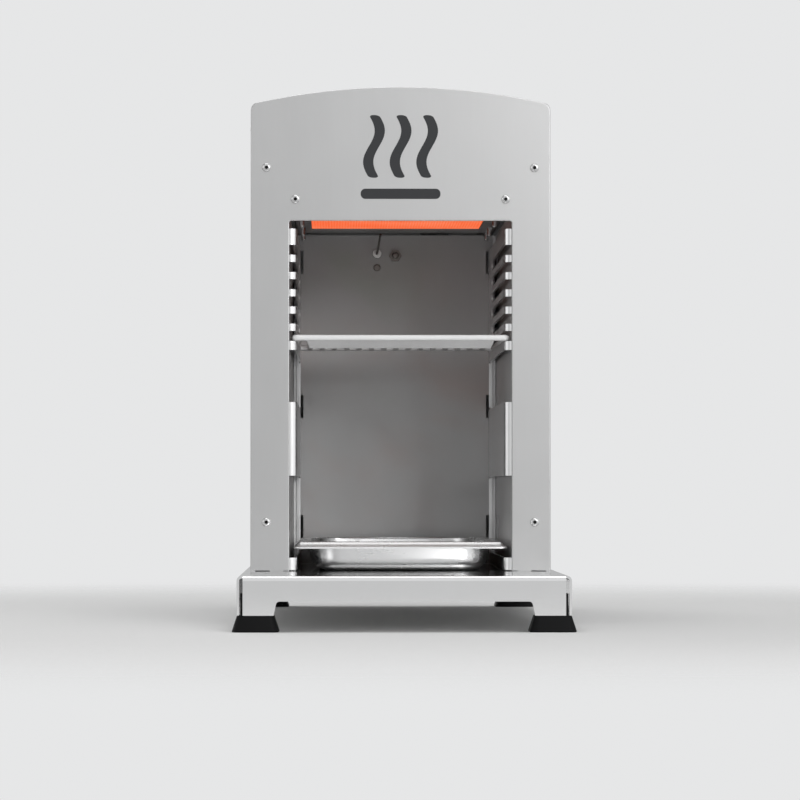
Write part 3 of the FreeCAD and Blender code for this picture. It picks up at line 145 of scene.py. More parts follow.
def makeWorld():
    world = bpy.data.worlds.new("paleStudio")
    world.use_nodes = True
    world.cycles.sampling_method = "NONE"
    tree = world.node_tree
    tree.nodes.clear()
    output = tree.nodes.new("ShaderNodeOutputWorld")
    path = tree.nodes.new("ShaderNodeLightPath")
    direction = tree.nodes.new("ShaderNodeTexCoord").outputs["Generated"]
    room = stageSettings["dimReflection"]
    for side, strength, start in stageSettings["brightSides"]:
        room = addMath(tree, "ADD", room, facingSide(tree, direction, side, strength, start))
    shaders = []
    for strength in (stageSettings["lightStrength"], room, stageSettings["seenStrength"]):
        background = tree.nodes.new("ShaderNodeBackground")
        background.inputs["Color"].default_value = stageSettings["worldColor"]
        if isinstance(strength, float):
            background.inputs["Strength"].default_value = strength
        else:
            tree.links.new(strength, background.inputs["Strength"])
        shaders.append(background.outputs["Background"])
    mirrored = addMath(tree, "MAXIMUM", path.outputs["Is Glossy Ray"], path.outputs["Is Transmission Ray"])
    shader = shaders[0]
    for factor, other in ((mirrored, shaders[1]), (path.outputs["Is Camera Ray"], shaders[2])):
        mix = tree.nodes.new("ShaderNodeMixShader")
        tree.links.new(factor, mix.inputs["Fac"])
        tree.links.new(shader, mix.inputs[1])
        tree.links.new(other, mix.inputs[2])
        shader = mix.outputs["Shader"]
    tree.links.new(shader, output.inputs["Surface"])
    bpy.context.scene.world = world


def makeFloor():
    # the floor thins out with distance, so no line shows where it ends
    bm = bmesh.new()
    bmesh.ops.create_grid(bm, x_segments=1, y_segments=1, size=stageSettings["floorSize"] / 2)
    mesh = bpy.data.meshes.new("floor")
    bm.to_mesh(mesh)
    bm.free()
    floor = bpy.data.objects.new("floor", mesh)
    bpy.context.scene.collection.objects.link(floor)
    material = bpy.data.materials.new("paleFloor")
    material.use_nodes = True
    tree = material.node_tree
    shader = tree.nodes["Principled BSDF"]
    shader.inputs["Base Color"].default_value = stageSettings["floorColor"]
    shader.inputs["Roughness"].default_value = stageSettings["floorRoughness"]
    coordinates = tree.nodes.new("ShaderNodeTexCoord")
    length = tree.nodes.new("ShaderNodeVectorMath")
    length.operation = "LENGTH"
    tree.links.new(coordinates.outputs["Object"], length.inputs[0])
    ramp = tree.nodes.new("ShaderNodeMapRange")
    ramp.interpolation_type = "SMOOTHSTEP"
    ramp.inputs["From Min"].default_value = stageSettings["floorFades"][0]
    ramp.inputs["From Max"].default_value = stageSettings["floorFades"][1]
    tree.links.new(length.outputs["Value"], ramp.inputs["Value"])
    clear = tree.nodes.new("ShaderNodeBsdfTransparent")
    mix = tree.nodes.new("ShaderNodeMixShader")
    tree.links.new(ramp.outputs["Result"], mix.inputs["Fac"])
    tree.links.new(shader.outputs["BSDF"], mix.inputs[1])
    tree.links.new(clear.outputs["BSDF"], mix.inputs[2])
    tree.links.new(mix.outputs["Shader"], tree.nodes["Material Output"].inputs["Surface"])
    mesh.materials.append(material)


makeCamera()
makeLamps()
makeWorld()
makeFloor()
bpy.context.scene.view_settings.view_transform = "Standard"
print("camera, lamps and floor are in place")


# Shader groups shared by the materials

grainSettings = {
    "fineDetail": 3.0,
    "fineRoughness": 0.65,
    "coarseScale": 0.13,      # share of the fine scale
    "coarseDetail": 2.0,
    "coarseShare": 0.45,
    "depthOnSheet": 0.0004,
    "depthOnPlain": 0.0003,
}
patchSettings = {
    "detail": 4.0,
    "distortion": 0.6,
    "tintSeed": 3.0,
}
def newGroup(name, inputs, outputs):
    group = bpy.data.node_groups.new(name, "ShaderNodeTree")
    for label, kind, value in inputs:
        socket = group.interface.new_socket(name=label, in_out="INPUT", socket_type=kind)
        socket.default_value = value
    for label, kind in outputs:
        group.interface.new_socket(name=label, in_out="OUTPUT", socket_type=kind)
    return group, group.nodes.new("NodeGroupInput"), group.nodes.new("NodeGroupOutput")


def makeGrainGroup():
    # streaks of a rolled and brushed sheet; Stretch squeezes them along an axis
    group, given, result = newGroup(
        "sheetGrain",
        [
            ("Stretch", "NodeSocketVector", (1.0, 1.0, 1.0)),
            ("Scale", "NodeSocketFloat", 400.0),
        ],
        [("Height", "NodeSocketFloat"), ("Streaks", "NodeSocketFloat")],
    )
    coordinates = group.nodes.new("ShaderNodeTexCoord")
    squeeze = group.nodes.new("ShaderNodeVectorMath")
    squeeze.operation = "MULTIPLY"
    group.links.new(coordinates.outputs["Object"], squeeze.inputs[0])
    group.links.new(given.outputs["Stretch"], squeeze.inputs[1])
    fine = group.nodes.new("ShaderNodeTexNoise")
    fine.inputs["Detail"].default_value = grainSettings["fineDetail"]
    fine.inputs["Roughness"].default_value = grainSettings["fineRoughness"]
    group.links.new(squeeze.outputs["Vector"], fine.inputs["Vector"])
    group.links.new(given.outputs["Scale"], fine.inputs["Scale"])
    coarseScale = group.nodes.new("ShaderNodeMath")
    coarseScale.operation = "MULTIPLY"
    coarseScale.inputs[1].default_value = grainSettings["coarseScale"]
    group.links.new(given.outputs["Scale"], coarseScale.inputs[0])
    coarse = group.nodes.new("ShaderNodeTexNoise")
    coarse.inputs["Detail"].default_value = grainSettings["coarseDetail"]
    group.links.new(squeeze.outputs["Vector"], coarse.inputs["Vector"])
    group.links.new(coarseScale.outputs["Value"], coarse.inputs["Scale"])
    streaks = group.nodes.new("ShaderNodeMix")
    streaks.data_type = "FLOAT"
    streaks.inputs["Factor"].default_value = grainSettings["coarseShare"]
    group.links.new(fine.outputs["Fac"], streaks.inputs["A"])
    group.links.new(coarse.outputs["Fac"], streaks.inputs["B"])
    group.links.new(fine.outputs["Fac"], result.inputs["Height"])
    group.links.new(streaks.outputs["Result"], result.inputs["Streaks"])
    return group


def makeSmudgeGroup():
    # broad cloudy patches from handling, cleaning and heat
    group, given, result = newGroup(
        "cloudyPatches",
        [
            ("Scale", "NodeSocketFloat", 14.0),
            ("From", "NodeSocketFloat", 0.42),
            ("To", "NodeSocketFloat", 0.72),
            ("Seed", "NodeSocketFloat", 0.0),
        ],
        [("Mask", "NodeSocketFloat")],
    )
    coordinates = group.nodes.new("ShaderNodeTexCoord")
    cloud = group.nodes.new("ShaderNodeTexNoise")
    cloud.noise_dimensions = "4D"
    cloud.inputs["Detail"].default_value = patchSettings["detail"]
    cloud.inputs["Distortion"].default_value = patchSettings["distortion"]
    group.links.new(coordinates.outputs["Object"], cloud.inputs["Vector"])
    group.links.new(given.outputs["Scale"], cloud.inputs["Scale"])
    group.links.new(given.outputs["Seed"], cloud.inputs["W"])
    ramp = group.nodes.new("ShaderNodeMapRange")
    ramp.interpolation_type = "SMOOTHSTEP"
    group.links.new(cloud.outputs["Fac"], ramp.inputs["Value"])
    group.links.new(given.outputs["From"], ramp.inputs["From Min"])
    group.links.new(given.outputs["To"], ramp.inputs["From Max"])
    group.links.new(ramp.outputs["Result"], result.inputs["Mask"])
    return group


grainGroup = makeGrainGroup()
smudgeGroup = makeSmudgeGroup()


def placeGroup(tree, group, **values):
    node = tree.nodes.new("ShaderNodeGroup")
    node.node_tree = group
    for label, value in values.items():
        node.inputs[label].default_value = value
    return node


def newMaterial(name, **values):
    material = bpy.data.materials.new(name)
    material.use_nodes = True
    shader = material.node_tree.nodes["Principled BSDF"]
    for label, value in values.items():
        shader.inputs[label.replace("_", " ")].default_value = value
    return material, material.node_tree, shader


def mapValue(tree, source, low, high):
    remap = tree.nodes.new("ShaderNodeMapRange")
    remap.inputs["To Min"].default_value = low
    remap.inputs["To Max"].default_value = high
    tree.links.new(source, remap.inputs["Value"])
    return remap.outputs["Result"]


def mixColors(tree, factor, first, second):
    mix = tree.nodes.new("ShaderNodeMix")
    mix.data_type = "RGBA"
    tree.links.new(factor, mix.inputs["Factor"])
    for value, label in ((first, "A"), (second, "B")):
        socket = [s for s in mix.inputs if s.name == label and s.type == "RGBA"][0]
        if isinstance(value, bpy.types.NodeSocket):
            tree.links.new(value, socket)
        else:
            socket.default_value = value
    return [s for s in mix.outputs if s.type == "RGBA"][0]


def addBump(tree, shader, height, strength, distance):
    bump = tree.nodes.new("ShaderNodeBump")
    bump.inputs["Strength"].default_value = strength
    bump.inputs["Distance"].default_value = distance
    tree.links.new(height, bump.inputs["Height"])
    tree.links.new(bump.outputs["Normal"], shader.inputs["Normal"])


def sheetSteel(name, light, dark, smooth, rough, stretch, scale=400.0, bump=0.03, tints=(), patch=0.5,
               metallic=1.0):
    # stainless sheet: grey tone and gloss follow the grain, patches dull it, heat tints colour it
    material, tree, shader = newMaterial(name, Metallic=metallic)
    grain = placeGroup(tree, grainGroup, Stretch=stretch, Scale=scale)
    smudges = placeGroup(tree, smudgeGroup)
    tone = mixColors(tree, grain.outputs["Streaks"], grey(dark), grey(light))
    for i, (tint, size, start, end) in enumerate(tints):
        seed = patchSettings["tintSeed"] + i
        patches = placeGroup(tree, smudgeGroup, Scale=size, From=start, To=end, Seed=seed)
        tone = mixColors(tree, patches.outputs["Mask"], tone, tint)
    tree.links.new(tone, shader.inputs["Base Color"])
    gloss = tree.nodes.new("ShaderNodeMath")
    gloss.operation = "MULTIPLY_ADD"
    tree.links.new(smudges.outputs["Mask"], gloss.inputs[0])
    gloss.inputs[1].default_value = (rough - smooth) * patch
    tree.links.new(mapValue(tree, grain.outputs["Streaks"], smooth, rough), gloss.inputs[2])
    tree.links.new(gloss.outputs["Value"], shader.inputs["Roughness"])
    addBump(tree, shader, grain.outputs["Height"], bump, grainSettings["depthOnSheet"])
    return material


def grey(value):
    return (value, value, value, 1.0)


alongWidth = (0.06, 1.0, 1.0)
alongLength = (1.0, 0.1, 1.0)
heatTints = (
    # colour, patches per metre, where a patch begins, where it is full
    ((0.545, 0.485, 0.47, 1.0), 9.0, 0.46, 0.78),
    ((0.485, 0.52, 0.48, 1.0), 11.0, 0.50, 0.80),
)
materials = {
    # name, light tone, dark tone, smoothest, roughest, stretch of the grain
    "panel": sheetSteel("satinPanelSteel", 0.60, 0.575, 0.31, 0.36, (1.0, 1.0, 0.08), bump=0.012),
    "base": sheetSteel("brightBaseSteel", 0.94, 0.91, 0.07, 0.10, alongLength, bump=0.006),
    "casing": sheetSteel("satinCasingSteel", 0.62, 0.58, 0.30, 0.37, (1.0, 0.08, 1.0), bump=0.02),
    "rack": sheetSteel("rackSteel", 0.90, 0.84, 0.26, 0.32, alongLength, bump=0.004),
    "wall": sheetSteel("chamberWallSteel", 0.56, 0.53, 0.48, 0.56, (1.0, 1.0, 0.1), bump=0.02,
                       tints=heatTints),
    "liner": sheetSteel("chamberSideSteel", 0.84, 0.78, 0.40, 0.48, alongLength, bump=0.02),
    "inner": sheetSteel("plainInnerSteel", 0.55, 0.48, 0.36, 0.46, alongLength),
    "pan": sheetSteel("panSteel", 0.90, 0.83, 0.23, 0.30, alongWidth, bump=0.006),
    "grate": sheetSteel("grateSteel", 0.90, 0.76, 0.42, 0.62, (1.0, 1.0, 1.0), scale=240.0,
                        bump=0.2, patch=0.9, metallic=0.42),
    "screw": sheetSteel("screwSteel", 0.78, 0.70, 0.12, 0.18, (1.0, 1.0, 1.0), scale=900.0),
}
plainSettings = {
    "grainScale": 900.0,
    "darkest": 0.8,           # share of the colour in the grain's dark streaks
    "smoother": 0.05,
    "rougher": 0.08,
}


def plainMaterial(name, color, roughness, metallic=0.0, bump=0.1, **values):
    s = plainSettings
    material, tree, shader = newMaterial(name, Metallic=metallic, **values)
    grain = placeGroup(tree, grainGroup, Scale=s["grainScale"])
    color = color + (1.0,)
    darker = tuple(c * s["darkest"] for c in color[:3]) + (1.0,)
    tree.links.new(mixColors(tree, grain.outputs["Streaks"], darker, color), shader.inputs["Base Color"])
    spread = mapValue(tree, grain.outputs["Streaks"], roughness - s["smoother"], roughness + s["rougher"])
    tree.links.new(spread, shader.inputs["Roughness"])
    addBump(tree, shader, grain.outputs["Height"], bump, grainSettings["depthOnPlain"])
    return material


materials.update({
    # name, colour, roughness, metallic
    "rubber": plainMaterial("blackRubber", (0.003, 0.003, 0.0034), 0.5, bump=0.06,
                            Specular_IOR_Level=0.14),
    "brass": plainMaterial("plainBrass", (0.78, 0.56, 0.26), 0.3, 1.0),
    "knob": plainMaterial("blackKnobPlastic", (0.02, 0.02, 0.022), 0.38),
    "button": plainMaterial("redButtonPlastic", (0.5, 0.02, 0.015), 0.2, bump=0.03),
    "insulator": plainMaterial("whiteInsulator", (0.92, 0.91, 0.89), 0.2, bump=0.02),
    "felt": plainMaterial("ceramicFelt", (0.82, 0.81, 0.78), 0.9, bump=0.6),
    "sleeve": plainMaterial("siliconeSleeve", (0.7, 0.66, 0.6), 0.55),
    "copper": plainMaterial("plainCopper", (0.8, 0.42, 0.28), 0.3, 1.0),
    # near-black socket finish: painted shade for the depth of the hexagon holes
    "socket": plainMaterial("paintedShadeSocket", (0.03, 0.03, 0.03), 0.6, 1.0),
    "stained": plainMaterial("heatStainedSteel", (0.30, 0.28, 0.26), 0.34, 1.0),
    "ink": plainMaterial("printedInk", (0.020, 0.021, 0.024), 0.42, bump=0.02),
    "pointer": plainMaterial("whiteInlay", (0.8, 0.8, 0.78), 0.45, bump=0.02),
})
glowSettings = {
    "unlit": (0.22, 0.10, 0.06, 1.0),
    "roughness": 0.9,
    "patchScale": 16.0,
    "patchFrom": 0.3,
    "patchTo": 0.7,
    "share": 0.05,            # of the glow, on other surfaces, so the chamber keeps its steel colour
    "tile": ((0.98, 0.150, 0.045, 1.0), (0.94, 0.23, 0.12, 1.0)),
    "tileHole": ((0.85, 0.10, 0.02, 1.0), (0.95, 0.16, 0.04, 1.0)),
}


def glowingTile(name, seen, patch):
    s = glowSettings
    material, tree, shader = newMaterial(name, Roughness=s["roughness"], Emission_Strength=1.0)
    shader.inputs["Base Color"].default_value = s["unlit"]
    clouds = placeGroup(tree, smudgeGroup, Scale=s["patchScale"], From=s["patchFrom"], To=s["patchTo"])
    glow = mixColors(tree, clouds.outputs["Mask"], seen, patch)
    path = tree.nodes.new("ShaderNodeLightPath")
    given = tuple(c * s["share"] for c in seen[:3]) + (1.0,)
    color = mixColors(tree, path.outputs["Is Camera Ray"], given, glow)
    tree.links.new(color, shader.inputs["Emission Color"])
    return material


materials["tile"] = glowingTile("glowingTile", *glowSettings["tile"])
materials["tileHole"] = glowingTile("glowingHole", *glowSettings["tileHole"])
print("materials:", len(materials))

finishOf = {
    "panel": ["front_panel"],
    "base": ["base_plate", "base_leg_front_left", "base_leg_front_right", "base_leg_rear_left",
             "base_leg_rear_right"],
    "casing": ["top_cover", "side_panel_left", "side_panel_right", "rear_panel"],
    "rack": ["rack_left", "rack_right"],
    "wall": ["chamber_back_wall", "burner_housing"],
    "liner": ["chamber_wall_left", "chamber_wall_right"],
    "inner": ["burner_rail_left", "burner_rail_right", "heat_shield", "gas_baffle", "mixing_tube",
              "electrode_bracket", "gas_tube"],
    "pan": ["drip_pan"],
    "grate": ["grate_frame", "grate_bars"],
    "screw": ["panel_screws", "top_cover_screws", "rear_panel_screws", "base_screws", "base_nuts",
              "burner_studs", "burner_nuts", "foot_studs", "foot_nuts", "valve_stem",
              "valve_plunger", "igniter_spring"],
    "rubber": ["foot_front_left", "foot_front_right", "foot_rear_left", "foot_rear_right"],
    "brass": ["valve_body", "valve_nut", "injector", "gas_inlet", "inlet_nut"],
    "knob": ["control_knob", "igniter_body", "igniter_nut"],
    "button": ["igniter_button"],
    "insulator": ["electrode_ceramic"],
    "felt": ["tile_gasket"],
    "sleeve": ["igniter_lead"],
    "copper": ["thermocouple_lead"],
    "stained": ["electrode_rod", "electrode_screw", "thermocouple", "thermocouple_nut"],
    "tile": ["burner_tiles"],
}


def finishNodes():
    for key, names in finishOf.items():
        for name in names:
            mesh = nodes[name].data
            mesh.materials.clear()
            mesh.materials.append(materials[key])


finishNodes()
print("finishes are on the solids")


# Making new pieces

tiny = 1e-6                   # metres
def linkPiece(bm, name, finish, body, replaced=(), sharp=32.0):
    for face in bm.faces:
        face.smooth = True
    mesh = bpy.data.meshes.new(name)
    bm.to_mesh(mesh)
    bm.free()
    mesh.set_sharp_from_angle(angle=math.radians(sharp))
    for key in finish.split():
        mesh.materials.append(materials[key])
    piece = bpy.data.objects.new(name, mesh)
    bpy.context.scene.collection.objects.link(piece)
    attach(piece, body)
    if replaced:
        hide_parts(*replaced)
    return piece


def growRing(bm, edges):
    made = bmesh.ops.extrude_edge_only(bm, edges=edges)["geom"]
    verts = [part for part in made if isinstance(part, bmesh.types.BMVert)]
    fresh = set(verts)
    ring = [
        part for part in made
        if isinstance(part, bmesh.types.BMEdge) and part.verts[0] in fresh and part.verts[1] in fresh
    ]
    return ring, verts


def closeUp(bm, ring):
    bmesh.ops.edgeloop_fill(bm, edges=ring)
    bmesh.ops.recalc_face_normals(bm, faces=bm.faces)
    return bm


def moveRing(verts, before, after, height):
    # from one rounded rectangle (width, length, corner radius) to another
    for v in verts:
        for i in (0, 1):
            inner = before[i] / 2 - before[2]
            wanted = after[i] / 2 - after[2]
            if abs(v.co[i]) <= inner + tiny:
                v.co[i] *= wanted / inner
            else:
                side = math.copysign(1.0, v.co[i])
                v.co[i] = side * wanted + (v.co[i] - side * inner) * after[2] / before[2]
        v.co.z = height


def ringSolid(rings, segments, cuts=0):
    # a closed solid through rounded rectangles given as width, length, corner radius, height
    bm = bmesh.new()
    width, length, radius, height = rings[0]
    start = bmesh.ops.create_grid(bm, x_segments=1, y_segments=1, size=0.5)["verts"]
    bmesh.ops.scale(bm, vec=(width, length, 1.0), verts=start)
    bmesh.ops.bevel(
        bm, geom=start, offset=radius, affect="VERTICES", segments=segments, profile=0.5, material=-1
    )
    if cuts:
        sides = [e for e in bm.edges if e.calc_length() > radius]
        bmesh.ops.subdivide_edges(bm, edges=sides, cuts=cuts)
    for v in bm.verts:
        v.co.z = height
    ring = list(bm.edges)
    for before, after in zip(rings, rings[1:]):
        ring, verts = growRing(bm, ring)
        moveRing(verts, before, after, after[3])
    return closeUp(bm, ring)


def placeRing(verts, radius, height, shape=None):
    # each vertex keeps its angle round the upright axis
    for v in verts:
        turn = math.atan2(v.co.y, v.co.x)
        reach = radius * shape(turn, height) if shape else radius
        v.co = (reach * math.cos(turn), reach * math.sin(turn), height)


def spunSolid(profile, segments, shape=None):
    # a closed solid round the upright axis through radius and height pairs
    bm = bmesh.new()
    radius, height = profile[0]
    start = bmesh.ops.create_circle(bm, cap_ends=True, segments=segments, radius=radius)["verts"]
    bmesh.ops.translate(bm, vec=(0.0, 0.0, height), verts=start)
    ring = list(bm.edges)
    for radius, height in profile[1:]:
        ring, verts = growRing(bm, ring)
        placeRing(verts, radius, height, shape)
    return closeUp(bm, ring)


def roundOver(radius, height, size, steps):
    # radius and height pairs over an outer edge, from the side to the top
    turns = [math.radians(90.0 * i / steps) for i in range(steps + 1)]
    return [(radius - size + size * math.cos(t), height - size + size * math.sin(t)) for t in turns]


def aim(bm, place, direction):
    turn = Vector(direction).to_track_quat("Z", "Y").to_matrix().to_4x4()
    bmesh.ops.transform(bm, matrix=Matrix.Translation(Vector(place)) @ turn, verts=bm.verts)
    return bm


def join(parts):
    whole = bmesh.new()
    for bm in parts:
        mesh = bpy.data.meshes.new("part")
        bm.to_mesh(mesh)
        bm.free()
        whole.from_mesh(mesh)
        bpy.data.meshes.remove(mesh)
    return whole


def islandCentres(node):
    # the middle of each separate solid in a node
    bm = bmesh.new()
    bm.from_mesh(nodes[node].data)
    bmesh.ops.remove_doubles(bm, verts=bm.verts, dist=tiny)
    left = set(bm.verts)
    centres = []
    while left:
        stack = [left.pop()]
        group = []
        while stack:
            v = stack.pop()
            group.append(v.co.copy())
            for edge in v.link_edges:
                other = edge.other_vert(v)
                if other in left:
                    left.remove(other)
                    stack.append(other)
        low = Vector([min(p[i] for p in group) for i in range(3)])
        high = Vector([max(p[i] for p in group) for i in range(3)])
        centres.append((low + high) / 2)
    bm.free()
    return sorted(centres, key=lambda c: (round(c.x, 4), round(c.y, 4), round(c.z, 4)))


# Button-head screws with a hexagon socket

screwShape = {
    "headRadius": 0.0037,
    "headHeight": 0.0022,
    "rimHeight": 0.0003,
    "flatRadius": 0.0021,
    "domeSteps": 5,
    "socketRadius": 0.00148,
    "socketDepth": 0.0013,
    "socketCuts": 3,
    "lipHeight": 0.00012,
    "lipFlare": 1.09,
    "shankRadius": 0.0020,
    "shankLength": 0.0060,
}


def screw(place, direction):
    s = screwShape
    bm = bmesh.new()
    bmesh.ops.create_circle(bm, cap_ends=True, segments=6, radius=s["socketRadius"])
    bmesh.ops.subdivide_edges(bm, edges=bm.edges[:], cuts=s["socketCuts"])
    bmesh.ops.translate(bm, vec=(0, 0, s["headHeight"] - s["socketDepth"]), verts=bm.verts)
    ring, verts = growRing(bm, list(bm.edges))
    bmesh.ops.translate(bm, vec=(0, 0, s["socketDepth"] - s["lipHeight"]), verts=verts)
    socket = set(bm.faces)
    ring, verts = growRing(bm, ring)
    bmesh.ops.scale(bm, vec=(s["lipFlare"], s["lipFlare"], 1.0), verts=verts)
    bmesh.ops.translate(bm, vec=(0, 0, s["lipHeight"]), verts=verts)
    span = s["headRadius"] - s["flatRadius"]
    rise = s["headHeight"] - s["rimHeight"]
    profile = []
    for i in range(s["domeSteps"] + 1):
        turn = math.radians(90.0 - 90.0 / s["domeSteps"] * i)
        profile.append((s["flatRadius"] + span * math.cos(turn), s["rimHeight"] + rise * math.sin(turn)))
    profile += [(s["headRadius"], 0.0), (s["shankRadius"], 0.0), (s["shankRadius"], -s["shankLength"])]
    for radius, height in profile:
        ring, verts = growRing(bm, ring)
        placeRing(verts, radius, height)
    closeUp(bm, ring)
    # the socket's walls and floor take the second finish, near-black painted shade
    for face in bm.faces:
        face.material_index = int(face in socket)
    return aim(bm, place, direction)


def makeScrews():
    # the second finish on every screw paints shade into its hexagon socket
    front = [screw((c.x, panelFace, c.z), (0, -1, 0)) for c in islandCentres("panel_screws")]
    linkPiece(join(front), "panelScrews", "screw socket", "root", ["panel_screws"])
    rear = [screw((c.x, rearFace, c.z), (0, 1, 0)) for c in islandCentres("rear_panel_screws")]
    linkPiece(join(rear), "rearPanelScrews", "screw socket", "root", ["rear_panel_screws"])
    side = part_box("top_cover")[1].x
    cover = []
    for c in islandCentres("top_cover_screws"):
        outward = math.copysign(1.0, c.x)
        cover.append(screw((outward * side, c.y, c.z), (outward, 0, 0)))
    linkPiece(join(cover), "coverScrews", "screw socket", "root", ["top_cover_screws"])


makeScrews()
print("screws are in")


# Rubber feet: flared, with soft edges and a recess for the stud's nut

footShape = {
    "bottom": (0.0370, 0.0370, 0.0060),   # width, length, corner radius
    "top": (0.0296, 0.0296, 0.0045),
    "height": 0.0130,
    "edge": 0.0008,
    "softening": 0.3,         # share of the edge, halfway round it
    "recess": (0.0140, 0.0140, 0.0067),
    "recessDepth": 0.0070,
    "plug": (0.0240, 0.0240, 0.0020),
    "plugHeight": 0.0170,
    "cornerSteps": 8,
}


def shrunk(size, by):
    return (size[0] - 2 * by, size[1] - 2 * by, max(size[2] - by, 0.0005))


def makeFeet():
    s = footShape
    e = s["edge"]
    soft = e * s["softening"]
    height = s["height"]
    bottom, top, recess = s["bottom"], s["top"], s["recess"]
    rings = [recess + (s["recessDepth"],), recess + (e,), shrunk(recess, -e) + (0.0,)]
    rings += [shrunk(bottom, e) + (0.0,), shrunk(bottom, soft) + (soft,), bottom + (e,)]
    rings += [top + (height - e,), shrunk(top, soft) + (height - soft,), shrunk(top, e) + (height,)]
    rings += [s["plug"] + (height,), s["plug"] + (height + s["plugHeight"],)]
    for node in finishOf["rubber"]:
        low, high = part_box(node)
        middle = (low + high) / 2
        bm = ringSolid(rings, s["cornerSteps"])
        bmesh.ops.translate(bm, vec=(middle.x, middle.y, 0.0), verts=bm.verts)
        name = "rubberFoot" + "".join(word.capitalize() for word in node.split("_")[1:])
        linkPiece(bm, name, "rubber", "root", [node], sharp=40.0)


makeFeet()
print("feet are in")


# Drip pan: rolled hem, sloping skirt, narrow ridge, flat flange and a bowed body

panShape = {
    "width": 0.1768,
    "length": 0.3250,
    "rimCorner": 0.0060,
    "skirt": 0.0048,
    "bodyWidth": 0.1474,
    "bodyLength": 0.2960,
    "bodyCorner": 0.0240,
    "draft": 0.0030,
    "floorRound": 0.0110,
    "floorSteps": 6,
    "sheet": 0.0010,
    "cornerSteps": 10,
    "sideCuts": 14,
    # each ring's inset and its drop below the rim's top
    "bend": ((0.0, 0.0014), (-0.0004, 0.0005), (-0.0014, 0.0)),
    "ridge": ((0.0008, 0.0), (0.0002, 0.0002), (-0.0003, 0.0008)),
    "hem": ((0.0013, 0.0036), (0.0009, 0.0039), (0.0003, 0.0040), (0.0, 0.0044), (0.0, 0.0052),
            (0.0004, 0.0057), (0.0011, 0.0056), (0.0017, 0.0048)),
    "underRidge": ((0.0006, 0.0006), (0.0014, 0.0)),
    "underBend": ((-0.0010, 0.0), (0.0, 0.0010)),
    "bow": 0.0034,            # how far the body's sides swell at their middle
    "bowReach": 0.02,         # in from the body's outline
    "bowMargin": 0.0012,      # out from it
    "bowFade": 0.002,
    "bowAtTop": 0.3,
}


def panRings(low, top):
    s = panShape
    sheet = s["sheet"]
    rim = (s["width"], s["length"], s["rimCorner"])
    ridge = shrunk(rim, s["skirt"])
    body = (s["bodyWidth"], s["bodyLength"], s["bodyCorner"])

    def floorTurn(inset):
        radius = s["floorRound"] - inset
        rings = []
        for i in range(s["floorSteps"] + 1):
            turn = math.radians(90.0 / s["floorSteps"] * i)
            z = low + inset + radius * (1.0 - math.cos(turn))
            lean = s["draft"] * (top - z) / (top - low)
            rings.append(shrunk(body, lean + inset + radius * (1.0 - math.sin(turn))) + (z,))
        return rings

    def follow(size, line, below=0.0):
        return [shrunk(size, inset) + (top - below - drop,) for inset, drop in line]

    rings = floorTurn(sheet) + follow(shrunk(body, sheet), s["bend"])
    rings += follow(ridge, s["ridge"]) + follow(rim, s["hem"])
    rings += follow(ridge, s["underRidge"], sheet) + follow(body, s["underBend"], sheet)
    return rings + floorTurn(0.0)[::-1]


def makePan():
    s = panShape
    low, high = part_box("drip_pan")
    bm = ringSolid(panRings(low.z, high.z), s["cornerSteps"], cuts=s["sideCuts"])
    halfWidth = s["bodyWidth"] / 2
    halfLength = s["bodyLength"] / 2
    for v in bm.verts:
        x, y = v.co.x, v.co.y
        if abs(x) >= halfWidth + s["bowMargin"] or abs(y) >= halfLength + s["bowMargin"]:
            continue
        bow = s["bow"] * min(1.0, max(0.0, (high.z - v.co.z) / s["bowFade"] + s["bowAtTop"]))
        if abs(y) > halfLength - s["bowReach"]:
            v.co.y += math.copysign(bow * max(0.0, 1.0 - (x / halfWidth) ** 2), y)
        if abs(x) > halfWidth - s["bowReach"]:
            v.co.x += math.copysign(bow * max(0.0, 1.0 - (y / halfLength) ** 2), x)
    middle = (low + high) / 2
    bmesh.ops.translate(bm, vec=(middle.x, middle.y, 0.0), verts=bm.verts)
    linkPiece(bm, "dripPan", "pan", "drip_pan", ["drip_pan"], sharp=50.0)


makePan()
print("drip pan is in")


# Burner tiles: glowing ceramic with rows of flame holes

tileShape = {
    "pitch": 0.0024,
    "web": 0.0005,
    "holeDepth": 0.0030,
    "seam": 0.0010,
}


def makeTiles():
    s = tileShape
    low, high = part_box("burner_tiles")
    width = high.x - low.x
    middle = (low.y + high.y) / 2
    for name, y0, y1 in (
        ("burnerTileFront", low.y, middle - s["seam"] / 2),
        ("burnerTileRear", middle + s["seam"] / 2, high.y),
    ):
        columns = int(width / s["pitch"])
        rows = int((y1 - y0) / s["pitch"])
        bm = bmesh.new()
        bmesh.ops.create_grid(bm, x_segments=columns, y_segments=rows, size=0.5)
        bmesh.ops.scale(bm, vec=(width, y1 - y0, 1.0), verts=bm.verts)
        bmesh.ops.translate(bm, vec=(0.0, (y0 + y1) / 2, low.z), verts=bm.verts)
        cells = bm.faces[:]
        border, verts = growRing(bm, [e for e in bm.edges if e.is_boundary])
        bmesh.ops.translate(bm, vec=(0.0, 0.0, high.z - low.z), verts=verts)
        closeUp(bm, border)
        bmesh.ops.inset_individual(bm, faces=cells, thickness=s["web"], use_even_offset=True)
        holes = bmesh.ops.extrude_discrete_faces(bm, faces=cells)["faces"]
        ends = list({v for face in holes for v in face.verts})
        bmesh.ops.translate(bm, vec=(0.0, 0.0, s["holeDepth"]), verts=ends)
        for face in holes:
            face.material_index = 1
            for edge in face.edges:
                for side in edge.link_faces:
                    side.material_index = 1
        linkPiece(bm, name, "tile tileHole", "root", ["burner_tiles"], sharp=20.0)


makeTiles()
print("burner tiles are in")


# Fittings on the rear panel

